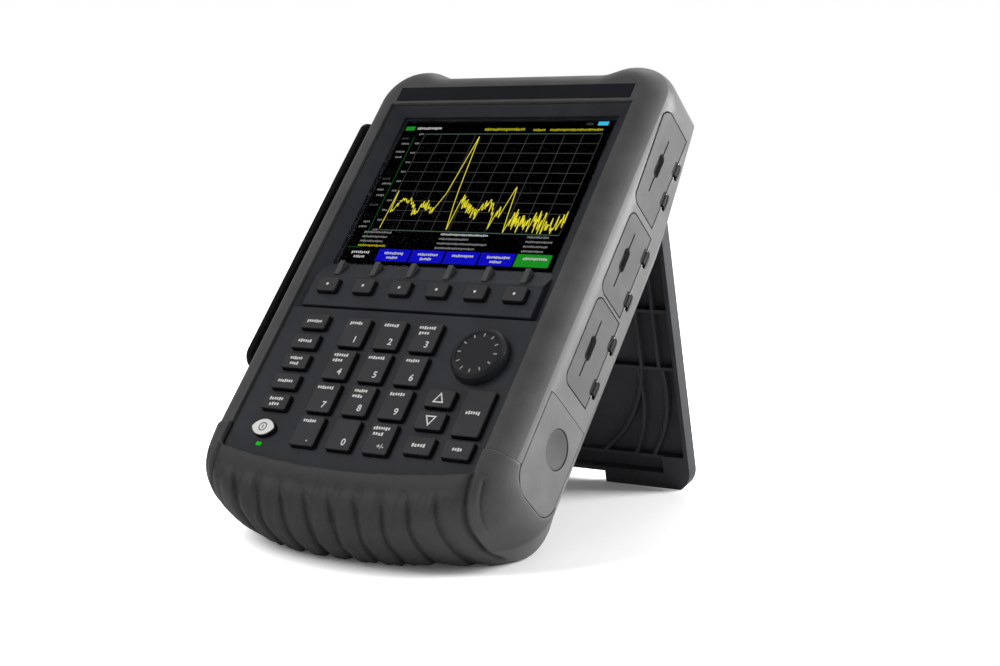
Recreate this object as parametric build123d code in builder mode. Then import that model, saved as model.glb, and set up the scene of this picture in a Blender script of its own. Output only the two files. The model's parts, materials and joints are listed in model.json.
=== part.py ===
from build123d import *
import math
import os

os.makedirs("parts", exist_ok=True)

# Handheld microwave analyzer, standing on its boot and its open kick stand.
# Sizes are in millimetres and angles in degrees.
# The body has its own axes: across to the right, up along the body, out towards the user.
# out is 0 on the front face of the frame and negative inside the case.

# Overall
case_depth = 72.0
side_depth = 48.0
lean_angle = 41.0
running_gap = 0.3
shaft_gap = 0.05

# Case outline and edges
corner_radius = 25.5
bumper_rise = 4.8
bumper_flat = 1.5
bumper_slope = 12.0
bumper_round = 20.0
notch_round = 8.0
rail_width = 16.4
rail_round = 15.5
back_bevel_across = 15.0
taper_from_top = 79.0
taper_angle = 5.0
parting_out = -7.5

# Boot
boot_rim = 44.4
boot_proud = 0.4
boot_wall = 3.5
boot_radius = 52.0
boot_heel = 0.2
boot_dip = 9.2
boot_flat = 0.8
boot_side_rise = 32.0
boot_side_power = 2.2
boot_corner = 17.0
boot_corner_gain = 18.0
boot_corner_fit = 0.9
boot_front_out = 2.0
boot_back_out = 0.8
boot_front_rise = 27.0
boot_chin_reach = 13.0
boot_chin_step = 5.2
boot_stops = (5.0, 12.0, 18.0, 25.0)
land_depth = 0.8
lip_mid = 24.0
lip_side = 31.0
lip_band = 7.0
groove_count = 12
groove_pitch = 12.4
groove_width = 3.4
groove_depth = 1.5
corner_groove_width = 2.4

# Front panel
top_bar_width = 26.7
panel_sunk = 1.5
panel_thickness = 3.0
panel_backing = 4.0
recess_rim = 0.8
bezel_side = 8.3
bezel_top = 5.0
window_height = 102.0
window_sunk = 6.0
window_thickness = 1.2
window_ledge = 1.5
shelf_sunk = 1.0
shelf_height = 21.5
shelf_slope = 11.0
shelf_end = 6.0
shelf_spread = 1.0
shelf_groove = 2.2
ledge_width = 4.3
ledge_top = 2.5
ledge_bottom = 1.0
key_well_low = 3.0

# Name strip
strip_height = 9.8
strip_gap_below = 2.1
strip_inset = 2.0
strip_thickness = 0.7
strip_round = 1.5
strip_sunk = 0.1

# Keys
key_travel = 1.2
key_proud = 2.8
key_gap = 0.3
key_round = 1.2
key_edge = 0.7
flange_lip = 0.9
flange_thickness = 1.2
stem_radius = 2.2
stem_clear = 0.1
keypad_foot = 9.4
softkey_size = (12.6, 8.6)
softkey_end = 1.2
softkey_above_keypad = 14.0
function_size = (16.0, 9.0)
function_pitch = 12.4
function_from_left = 22.0
function_below_top = 9.4
numeric_size = (15.2, 17.4)
numeric_pitch = (22.2, 19.7)
numeric_from_left = 50.0
numeric_below_top = 14.6
small_size = (16.0, 10.0)
arrow_after_numeric = 23.8
arrow_from_right = 35.4
arrow_below_knob = 5.0
arrow_pitch = 12.6
enter_from_right = 13.4
enter_extra = 3.4
escape_pitch = 14.1
power_size = (14.6, 9.6)
power_gap = 2.8
lens_size = (3.0, 2.0)
lens_below_power = 8.4
lens_proud = 0.3

# Tuning knob and encoder
knob_radius = 15.5
knob_height = 5.6
knob_draft = 0.8
knob_clear = 0.5
knob_edge = 1.4
knob_dish = 0.6
knob_from_right = 23.4
knob_below_top = 22.9
shaft_radius = 3.0
encoder_size = 13.0
encoder_height = 3.7
encoder_bore = 2.0
encoder_gap = 1.0

# Boards and modules
mat_thickness = 1.4
board_thickness = 1.6
board_margin = 2.6
board_gap = 2.0
board_foot = 4.0
display_thickness = 5.5
display_margin = 5.0
module_thickness = 32.0
module_side = 2.0
module_margin = 6.0
module_lid_round = 3.0

# Rear case
wall = 3.0
back_wall = 12.0
left_wall = 13.2
bay_ceiling = 4.5
spigot_side = 16.2
spigot_clear = 14.0
spigot_bottom = 26.0

# Battery and its door
bay_side = 28.2
bay_rise = 4.1
bay_height = 31.0
bay_front = 20.0
bay_back = 45.0
bay_gap = 0.3
battery_door_drop = 11.1
battery_door_cover = 5.2
battery_door_front = 10.6
battery_door_back = 47.5
battery_door_round = 11.0
button_radius = 10.2
button_below_top = 19.2
button_back = 31.5
button_sunk = 0.5
button_dish = 0.7
button_face_wall = 1.2
button_flange = 0.8
button_flange_lip = 1.2
button_travel = 0.8
button_dish_rim = 1.4

# Connector doors on the right side, from the bottom one up
first_door_gap = 10.4
door_spacings = (3.0, 5.2)
lower_door_room = 5.1
middle_door_room = 4.3
door_top_margin = 29.0
door_fronts = {"lower_door": (15.4, 15.4), "middle_door": (14.4, 14.4), "upper_door": (12.4, 9.2)}
door_hinges = {"lower_door": 42.0, "middle_door": 40.5, "upper_door": 37.5}
door_knuckle_shares = {"lower_door": 0.24, "middle_door": 0.225, "upper_door": 0.325}
door_thickness = 2.8
door_gap = 0.7
door_corner = 5.0
door_step = 1.8
hinge_sunk = 1.0
knuckle_radius = 1.9
knuckle_length = 7.0
hinge_notch_gap = 1.4
hinge_pin_radius = 0.9
hinge_pin_reach = 2.0
pull_from_hinge = 16.5
pull_length = 14.0
pull_width = 5.4
pull_depth = 1.8
slit_length = 33.0
slit_width = 1.0
slit_depth = 1.0
pocket_margin = 4.5
pocket_lip = 3.2
pocket_width = 17.0
pocket_depth = 20.2
pocket_wall = 3.0

# Sockets behind the doors
socket_reach = 11.5
socket_spacing = 2.0
jack_spacing = 5.0
network_size = (15.8, 13.2)
network_hole = (11.8, 8.4)
usb_size = (14.6, 7.2)
usb_hole = (12.4, 4.8)
card_size = (27.0, 5.0)
card_hole = (24.2, 2.4)
power_jack_radius = 5.0
power_jack_hole = 3.0
socket_depth = 9.0

# Signal connectors in the top well
well_margin = 2.3
well_depth = 13.2
well_wall = 4.0
well_front = 24.0
well_back_wall = 10.0
port_end_gap = 4.5
port_radius = 7.94
port_length = 10.7
port_flange_radius = 10.5
port_flange = 3.0
port_bore = 4.2
port_bore_depth = 9.0
port_pin = 1.52
port_pin_sunk = 1.0
small_port_spread = 9.0
small_port_radius = 3.175
small_port_length = 7.5
small_port_flange_radius = 5.0
small_port_bore = 2.1
small_port_bore_depth = 3.0
small_port_pin = 0.64

# Kick stand
stand_opening = 55.0
stand_side = 7.7
stand_hinge_from_top = 43.4
stand_hinge_inset = 4.5
stand_thickness = 8.5
stand_skin = 2.6
stand_rim = 2.6
stand_barrel = 4.3
stand_heel = 6.3
stand_heel_thick = 3.3
stand_corner = 14.0
stand_notch_half = 15.0
stand_notch_height = 9.0
stand_rib = 1.8
stand_rib_height = 4.4
stand_cross_ribs = (63.0, 97.0)
stand_long_ribs = (18.0, 47.0, 58.0)
stand_fan_top = 97.0
stand_fan_share = 0.6
stand_fan_ribs = ((47.0, 36.0, 16.0), (44.0, 44.5, 37.0), (60.0, 58.5, 48.5))
stand_step_height = 22.0
stand_pin_radius = 2.5
stand_pin_inside = 10.0
stand_pin_outside = 4.0
stand_recess_gap = 1.2
stand_recess_top = 8.2
stand_recess_depth = 9.2
back_plate_gap = 0.3

# Hand strap on the left side
strap_pad_low = 92.0
strap_pad_from_top = 26.0
strap_pad_front = 17.5
strap_pad_back = 51.5
strap_pad_thickness = 4.6
strap_pad_round = 8.0
strap_pad_edge = 1.5
strap_stand_off = 12.0
webbing_thickness = 2.2
webbing_front = 22.0
webbing_back = 37.5
anchor_length = 12.0
anchor_low = 37.0
anchor_from_top = 20.0
anchor_thickness = 7.0
anchor_slot_sunk = 2.2
anchor_cheek = 2.4
anchor_sink = 4.5
anchor_round = 2.0
webbing_tail = 3.0
webbing_bend = 6.0
slot_gap = 0.3

# Case screws
screw_head_radius = 3.2
screw_head_height = 2.2
screw_sunk = 0.6
screw_radius = 1.6
screw_length = 8.0
screw_gap = 0.2
screw_side = 26.0
screw_from_top = 27.0
screw_low = 58.0

# Values worked out from the sizes above
tiny = 0.01
lean = math.radians(lean_angle)
up_dir = (0, math.sin(lean), math.cos(lean))
out_dir = (0, -math.cos(lean), math.sin(lean))
panel_half = (numeric_from_left + 2 * numeric_pitch[0] + arrow_after_numeric + arrow_from_right) / 2
half_width = panel_half + rail_width
numeric_left = numeric_from_left - panel_half
power_below_top = function_below_top + 5 * function_pitch + power_gap
lens_below_top = power_below_top + lens_below_power
arrow_up_below_top = knob_below_top + knob_radius + arrow_below_knob + small_size[1] / 2
arrow_down_below_top = arrow_up_below_top + arrow_pitch
escape_below_top = arrow_down_below_top + escape_pitch
enter_size = (small_size[0], arrow_pitch + small_size[1] + enter_extra)
enter_below_top = (arrow_up_below_top + arrow_down_below_top) / 2
keypad_height = keypad_foot + max(
    numeric_below_top + 3 * numeric_pitch[1] + numeric_size[1] / 2,
    lens_below_top + lens_size[1] / 2,
    escape_below_top + small_size[1] / 2,
)
keypad_top = lip_mid + keypad_height
shelf_top = keypad_top + shelf_height
shelf_half = panel_half - shelf_end
softkey_pitch = (shelf_half - softkey_end) / 3
window_half = panel_half - bezel_side
window_bottom = shelf_top + shelf_slope
window_top = window_bottom + window_height
panel_top = window_top + bezel_top
case_top = panel_top + top_bar_width
case_height = case_top + bumper_rise
bumper_turn = bumper_round * math.tan(math.atan2(bumper_rise, bumper_slope) / 2)
bumper_outer = half_width - corner_radius - bumper_flat - bumper_turn
bumper_inner = bumper_outer - bumper_slope
back_bevel_deep = case_depth - side_depth
panel_face = -panel_sunk
panel_seat = panel_face - panel_thickness
panel_back = panel_seat - panel_backing
stem_length = panel_backing - flange_thickness - key_travel - stem_clear
window_face = -window_sunk
shelf_face = -shelf_sunk
backing_half = panel_half - ledge_width
backing_top = panel_top - ledge_top
backing_bottom = keypad_top - shelf_groove - ledge_bottom
display_bottom = window_bottom - display_margin
board_top = display_bottom - board_gap
board_half = backing_half - board_margin
board_bottom = lip_mid + board_foot
board_back = panel_back - board_thickness
knob_across = panel_half - knob_from_right
knob_up = keypad_top - knob_below_top
inner_floor = case_depth - back_wall
spigot_half = half_width - spigot_side
spigot_back = case_depth - spigot_clear
well_half = bumper_inner - well_margin
well_floor = case_top - well_depth
well_back = case_depth - well_back_wall
port_back = (well_front + well_back) / 2
port_spread = well_half - port_flange_radius - port_end_gap
bay_left = half_width - bay_side
bay_bottom = boot_rim + bay_rise
bay_top = bay_bottom + bay_height
battery_door_bottom = boot_rim - battery_door_drop
battery_door_top = bay_top + battery_door_cover
button_up = battery_door_top - button_below_top
battery_door_thickness = button_face_wall + button_flange + button_travel
cavity_left = half_width - left_wall
pocket_floor = half_width - pocket_depth
cavity_right = pocket_floor - pocket_wall
cavity_bottom = bay_top + bay_ceiling
cavity_top = well_floor - well_wall
lower_sockets = network_size[0] + jack_spacing + 2 * power_jack_radius
middle_sockets = 2 * usb_size[0] + socket_spacing
lower_door_low = battery_door_top + first_door_gap
lower_door_high = lower_door_low + lower_sockets + 2 * (pocket_margin + lower_door_room)
middle_door_low = lower_door_high + door_spacings[0]
middle_door_high = middle_door_low + middle_sockets + 2 * (pocket_margin + middle_door_room)
upper_door_low = middle_door_high + door_spacings[1]
door_spans = {
    "lower_door": (lower_door_low, lower_door_high),
    "middle_door": (middle_door_low, middle_door_high),
    "upper_door": (upper_door_low, case_height - door_top_margin),
}
stand_half = half_width - back_bevel_across - stand_side
stand_hinge_up = case_height - stand_hinge_from_top
stand_hinge_back = case_depth - stand_hinge_inset
strap_pad_high = case_height - strap_pad_from_top
anchor_high = case_height - anchor_from_top
screw_across = half_width - screw_side
screw_high = case_height - screw_from_top
screw_places = [(sign * screw_across, up) for sign in (-1, 1) for up in (screw_low, screw_high)]
round_up = boot_heel + boot_radius
round_out = boot_radius - case_depth - boot_back_out
chin_up = boot_heel - boot_dip
land_reach = boot_radius - land_depth
land_up = round_up - land_reach * math.cos(lean)
land_out = round_out - land_reach * math.sin(lean)

# The origin is the middle of the flat on the boot that stands on the floor.
body_origin = tuple(-land_up * up_dir[i] - land_out * out_dir[i] for i in range(3))
body_plane = Plane(origin=body_origin, x_dir=(1, 0, 0), z_dir=out_dir)
out_axis = Axis(body_origin, out_dir)


def front(out):
    """Plane facing the user, with sketch axes across and up."""
    return body_plane.offset(out)


def side(across):
    """Plane facing right, with sketch axes up and out."""
    return Plane(body_plane.from_local_coords((across, 0, 0)), x_dir=up_dir, z_dir=(1, 0, 0))


def level(up):
    """Plane facing up the body, with sketch axes across and towards the back."""
    return Plane(body_plane.from_local_coords((0, up, 0)), x_dir=(1, 0, 0), z_dir=up_dir)


def direction(across, up, out):
    """Vector with the given parts along the body's axes."""
    return Vector(across, up * up_dir[1] + out * out_dir[1], up * up_dir[2] + out * out_dir[2])


def block(left, right, low, high):
    """Rectangle between two across and two up values, in a sketch that is open."""
    with Locations(((left + right) / 2, (low + high) / 2)):
        Rectangle(right - left, high - low)


def save(builder, name):
    """Labels a finished piece and writes it."""
    builder.part.label = name
    export_step(builder.part, f"parts/{name}.step")


def case_outline(out):
    """Front view of the case above the boot: straight sides and two raised corner bumpers."""
    with BuildSketch(front(out)) as outline:
        with BuildLine():
            Polyline(
                (-half_width, boot_rim),
                (half_width, boot_rim),
                (half_width, case_height),
                (bumper_outer, case_height),
                (bumper_inner, case_top),
                (-bumper_inner, case_top),
                (-bumper_outer, case_height),
                (-half_width, case_height),
                close=True,
            )
        make_face()
        for across, up, radius in (
            (half_width, case_height, corner_radius),
            (bumper_outer, case_height, bumper_round),
            (bumper_inner, case_top, notch_round),
        ):
            corners = outline.vertices().filter_by(
                lambda v: abs(abs(v.X) - across) < tiny and abs(v.Y - up) < tiny
            )
            fillet(corners, radius)
    return outline.sketch


def rim_edges(builder, outermost):
    """Edges round the front or back face of a case half, without the one on the boot."""
    faces = builder.faces().sort_by(out_axis)
    face = faces[-1] if outermost else faces[0]
    boot_line = level(boot_rim)
    edges = face.outer_wire().edges()
    return face, edges.filter_by(lambda e: boot_line.to_local_coords(e.center()).Z > tiny)


# Shape of the whole case above the boot: round front edges, bevelled back, sides drawn in near the top
with BuildPart() as case_body:
    extrude(case_outline(-case_depth), amount=case_depth)
    front_face, front_edges = rim_edges(case_body, outermost=True)
    fillet(front_edges, rail_round)
    back_face, back_edges = rim_edges(case_body, outermost=False)
    chamfer(back_edges, length=back_bevel_across, length2=back_bevel_deep, reference=back_face)
    taper_rise = math.hypot(back_bevel_across, back_bevel_deep) * math.tan(math.radians(taper_angle))
    for sign in (-1, 1):
        taper_across = sign * (half_width - back_bevel_across)
        taper_up = case_height - taper_from_top
        taper_start = body_plane.from_local_coords((taper_across, taper_up, -case_depth))
        taper_facing = direction(sign * back_bevel_deep, taper_rise, -back_bevel_across)
        split(bisect_by=Plane(taper_start, z_dir=taper_facing), keep=Keep.BOTTOM)

# Front frame: rails, top bar and corner bumpers round the panel
with BuildPart() as front_frame:
    add(case_body.part)
    split(bisect_by=front(parting_out), keep=Keep.TOP)
    with BuildSketch(front(panel_seat)):
        pocket_half = panel_half + running_gap
        block(-pocket_half, pocket_half, boot_rim, panel_top + running_gap)
    extrude(amount=case_depth, mode=Mode.SUBTRACT)
    with BuildSketch(front(parting_out)):
        opening_half = backing_half + running_gap
        block(-opening_half, opening_half, boot_rim, backing_top + running_gap)
    extrude(amount=case_depth, mode=Mode.SUBTRACT)
    with BuildSketch(front(-strip_sunk - strip_thickness)):
        strip_low = panel_top + strip_gap_below
        strip_half = panel_half - strip_inset
        block(-strip_half, strip_half, strip_low, strip_low + strip_height)
    extrude(amount=case_depth, mode=Mode.SUBTRACT)
save(front_frame, "front_frame")

# Name strip: a bare plate let into the top bar
with BuildPart() as name_strip:
    with BuildSketch(front(-strip_sunk - strip_thickness)):
        with Locations((0, strip_low + strip_height / 2)):
            RectangleRounded(2 * (strip_half - running_gap), strip_height - 2 * running_gap, strip_round)
    extrude(amount=strip_thickness)
save(name_strip, "name_strip")

# Every key: name, across, up, width, height
keys = []
for number in range(6):
    across = (number - 2.5) * softkey_pitch
    keys.append((f"softkey_{number + 1}", across, keypad_top + softkey_above_keypad, *softkey_size))
for number in range(5):
    up = keypad_top - function_below_top - number * function_pitch
    keys.append((f"function_key_{number + 1}", function_from_left - panel_half, up, *function_size))
numeric_names = (
    ("digit_key_1", "digit_key_2", "digit_key_3"),
    ("digit_key_4", "digit_key_5", "digit_key_6"),
    ("digit_key_7", "digit_key_8", "digit_key_9"),
    ("point_key", "digit_key_0", "sign_key"),
)
for row, names in enumerate(numeric_names):
    for column, name in enumerate(names):
        across = numeric_left + column * numeric_pitch[0]
        up = keypad_top - numeric_below_top - row * numeric_pitch[1]
        keys.append((name, across, up, *numeric_size))
arrow_across = panel_half - arrow_from_right
enter_across = panel_half - enter_from_right
keys.append(("arrow_up_key", arrow_across, keypad_top - arrow_up_below_top, *small_size))
keys.append(("arrow_down_key", arrow_across, keypad_top - arrow_down_below_top, *small_size))
keys.append(("enter_key", enter_across, keypad_top - enter_below_top, *enter_size))
keys.append(("back_key", arrow_across, keypad_top - escape_below_top, *small_size))
keys.append(("escape_key", enter_across, keypad_top - escape_below_top, *small_size))
power_up = keypad_top - power_below_top
power_across = function_from_left - panel_half
lens_up = keypad_top - lens_below_top


def eye(out, grow):
    """Outline of the power key, two arcs with blunt ends, drawn out by grow."""
    half_length = power_size[0] / 2 + grow
    half_height = power_size[1] / 2 + grow
    left = (power_across - half_length, power_up)
    right = (power_across + half_length, power_up)
    with BuildSketch(front(out)) as outline:
        with BuildLine():
            ThreePointArc(left, (power_across, power_up + half_height), right)
            ThreePointArc(right, (power_across, power_up - half_height), left)
        make_face()
        fillet(outline.vertices(), key_round)
    return outline.sketch


def key_face_out(name):
    """How far out a key's top stands."""
    base = shelf_face if name.startswith("softkey") else panel_face
    return base + key_proud


# Front panel: keypad plate, softkey shelf and sloping window surround in one moulding
with BuildPart() as front_panel:
    with BuildSketch(front(panel_seat)):
        with BuildLine():
            ThreePointArc((-panel_half, lip_side), (0, lip_mid), (panel_half, lip_side))
            Polyline(
                (panel_half, lip_side),
                (panel_half, panel_top),
                (-panel_half, panel_top),
                (-panel_half, lip_side),
            )
        make_face()
    extrude(amount=panel_thickness)
    with BuildSketch(front(panel_back)):
        block(-backing_half, backing_half, backing_bottom, backing_top)
    extrude(amount=panel_backing)
    with BuildSketch(front(panel_face)):
        rim_half = panel_half - recess_rim
        block(-rim_half, rim_half, keypad_top + recess_rim, panel_top - recess_rim)
    with BuildSketch(front(window_face)):
        block(-window_half, window_half, keypad_top + 2 * recess_rim, window_top)
    loft(mode=Mode.SUBTRACT)
    with BuildSketch(front(window_face)):
        spread_half = shelf_half + shelf_spread
        block(-spread_half, spread_half, keypad_top + shelf_groove, window_bottom)
    with BuildSketch(front(shelf_face)):
        block(-shelf_half, shelf_half, keypad_top + shelf_groove, shelf_top)
    loft()
    with BuildSketch(front(window_face)):
        block(-window_half, window_half, window_bottom, window_top)
    extrude(amount=-window_thickness, mode=Mode.SUBTRACT)
    with BuildSketch(front(window_face)):
        block(
            window_ledge - window_half,
            window_half - window_ledge,
            window_bottom + window_ledge,
            window_top - window_ledge,
        )
    extrude(amount=-window_sunk, mode=Mode.SUBTRACT)
    with BuildSketch(front(panel_back)):
        well_side = board_half + running_gap
        block(-well_side, well_side, keypad_top + key_well_low, board_top + running_gap)
    extrude(amount=panel_backing, mode=Mode.SUBTRACT)
    with BuildSketch(front(panel_seat)):
        for name, across, up, width, height in keys:
            with Locations((across, up)):
                RectangleRounded(width + 2 * key_gap, height + 2 * key_gap, key_round + key_gap)
        with Locations((power_across, lens_up)):
            Rectangle(*lens_size)
        with Locations((knob_across, knob_up)):
            Circle(shaft_radius + 2 * running_gap)
    extrude(amount=window_sunk, mode=Mode.SUBTRACT)
    extrude(eye(panel_seat, key_gap), amount=window_sunk, mode=Mode.SUBTRACT)
save(front_panel, "front_panel")

# Keys: cap through the panel, flange under it, stem over its switch
for name, across, up, width, height in keys:
    with BuildPart() as key:
        with BuildSketch(front(panel_seat)):
            with Locations((across, up)):
                RectangleRounded(width, height, key_round)
        extrude(amount=key_face_out(name) - panel_seat)
        fillet(key.faces().sort_by(out_axis)[-1].edges(), key_edge)
        with BuildSketch(front(panel_seat)):
            with Locations((across, up)):
                RectangleRounded(width + 2 * flange_lip, height + 2 * flange_lip, key_round)
        extrude(amount=-flange_thickness)
        with BuildSketch(front(panel_seat - flange_thickness)):
            with Locations((across, up)):
                Circle(stem_radius)
        extrude(amount=-stem_length)
    save(key, name)

# Power key: a cap shaped like an eye
with BuildPart() as power_key:
    extrude(eye(panel_seat, 0), amount=key_proud + panel_face - panel_seat)
    fillet(power_key.faces().sort_by(out_axis)[-1].edges(), key_edge)
    extrude(eye(panel_seat, flange_lip), amount=-flange_thickness)
    with BuildSketch(front(panel_seat - flange_thickness)):
        with Locations((power_across, power_up)):
            Circle(stem_radius)
    extrude(amount=-stem_length)
save(power_key, "power_key")

# Status lens under the power key
with BuildPart() as status_lens:
    with BuildSketch(front(panel_seat)):
        with Locations((power_across, lens_up)):
            Rectangle(lens_size[0] - 2 * shaft_gap, lens_size[1] - 2 * shaft_gap)
    extrude(amount=panel_thickness + lens_proud)
    with BuildSketch(front(panel_seat)):
        with Locations((power_across, lens_up)):
            Rectangle(lens_size[0] + flange_lip, lens_size[1] + flange_lip)
    extrude(amount=-flange_thickness)
save(status_lens, "status_lens")

# Display window in its ledge
with BuildPart() as display_window:
    with BuildSketch(front(window_face - window_thickness)):
        block(
            running_gap - window_half,
            window_half - running_gap,
            window_bottom + running_gap,
            window_top - running_gap,
        )
    extrude(amount=window_thickness)
save(display_window, "display_window")

# Display panel behind the window surround
with BuildPart() as display_panel:
    with BuildSketch(front(panel_back)):
        display_half = backing_half - running_gap
        block(-display_half, display_half, display_bottom, backing_top - running_gap)
    extrude(amount=-display_thickness)
save(display_panel, "display_panel")

# Keypad board under all keys
with BuildPart() as keypad_board:
    with BuildSketch(front(board_back)):
        block(-board_half, board_half, board_bottom, board_top)
    extrude(amount=board_thickness)
save(keypad_board, "keypad_board")

# Rubber mat on the board, open under every stem
with BuildPart() as key_mat:
    with BuildSketch(front(panel_back)):
        block(-board_half, board_half, board_bottom, backing_bottom - running_gap)
        block(-board_half, board_half, keypad_top + key_well_low + running_gap, board_top)
        for name, across, up, width, height in keys:
            with Locations((across, up)):
                Circle(stem_radius + 2 * key_gap, mode=Mode.SUBTRACT)
        with Locations((power_across, power_up)):
            Circle(stem_radius + 2 * key_gap, mode=Mode.SUBTRACT)
        with Locations((power_across, lens_up)):
            Rectangle(2 * lens_size[0], 2 * lens_size[1], mode=Mode.SUBTRACT)
        with Locations((knob_across, knob_up)):
            Rectangle(*[encoder_size + 2 * encoder_gap] * 2, mode=Mode.SUBTRACT)
    extrude(amount=mat_thickness)
save(key_mat, "key_mat")

# Encoder under the knob
with BuildPart() as encoder_body:
    with BuildSketch(front(panel_back)):
        with Locations((knob_across, knob_up)):
            Rectangle(encoder_size, encoder_size)
    extrude(amount=encoder_height)
    with BuildSketch(front(panel_back + encoder_height)):
        with Locations((knob_across, knob_up)):
            Circle(shaft_radius + shaft_gap)
    extrude(amount=-encoder_bore, mode=Mode.SUBTRACT)
save(encoder_body, "encoder_body")

# Knob shaft, held in the encoder
knob_base = panel_face + knob_clear
with BuildPart() as knob_shaft:
    with BuildSketch(front(panel_back + encoder_height - encoder_bore)):
        with Locations((knob_across, knob_up)):
            Circle(shaft_radius)
    extrude(amount=knob_base + knob_height / 2 - panel_back - encoder_height + encoder_bore)
save(knob_shaft, "knob_shaft")

# Tuning knob: a low turned cap with a dished top
knob_foot = body_plane.from_local_coords((knob_across, knob_up, knob_base))
with BuildPart() as tuning_knob:
    with BuildSketch(Plane(knob_foot, x_dir=(1, 0, 0), z_dir=up_dir)):
        with BuildLine():
            Polyline(
                (0, knob_dish - knob_height),
                (0, 0),
                (knob_radius, 0),
                (knob_radius - knob_draft, knob_edge - knob_height),
                (knob_radius - knob_draft - knob_edge, -knob_height),
                (knob_radius - knob_draft - 2 * knob_edge, -knob_height),
                (knob_radius - knob_draft - 2 * knob_edge - knob_dish, knob_dish - knob_height),
                close=True,
            )
        make_face()
    revolve(axis=Axis(knob_foot, out_dir))
    with BuildSketch(front(knob_base)):
        with Locations((knob_across, knob_up)):
            Circle(shaft_radius)
    extrude(amount=knob_height / 2, mode=Mode.SUBTRACT)
save(tuning_knob, "tuning_knob")

# The kick stand's own axes: across, up along the stand from the hinge, and inwards to the body
stand_lean = math.radians(stand_opening - lean_angle)
stand_in = (0, -math.cos(stand_lean), -math.sin(stand_lean))
hinge_point = body_plane.from_local_coords((0, stand_hinge_up, -stand_hinge_back))
hinge_section = Plane(hinge_point, x_dir=stand_in, z_dir=(1, 0, 0))
stand_outer = stand_hinge_back - case_depth
stand_foot = (hinge_point.Z - stand_outer * math.sin(stand_lean)) / math.cos(stand_lean)


def stand_face(inwards):
    """Plane of the stand at a depth from its hinge axis, facing the body."""
    return Plane(hinge_point, x_dir=(1, 0, 0), z_dir=stand_in).offset(inwards)


def door_outline(across, name, grow):
    """Outline of a connector door, seen from the right, drawn out by grow."""
    low, high = door_spans[name]
    front_low, front_high = door_fronts[name]
    back = door_hinges[name] - door_step
    with BuildSketch(side(across)) as outline:
        with BuildLine():
            Polyline(
                (low - grow, -back - grow),
                (high + grow, -back - grow),
                (high + grow, -front_high + grow),
                (low - grow, -front_low + grow),
                close=True,
            )
        make_face()
        fillet(outline.vertices().sort_by(Axis.Y)[-2:], door_corner + grow)
    return outline.sketch


def knuckles_of(name):
    """Heights of the two knuckles of a door."""
    low, high = door_spans[name]
    inset = (high - low) * door_knuckle_shares[name]
    return low + inset, high - inset


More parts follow.
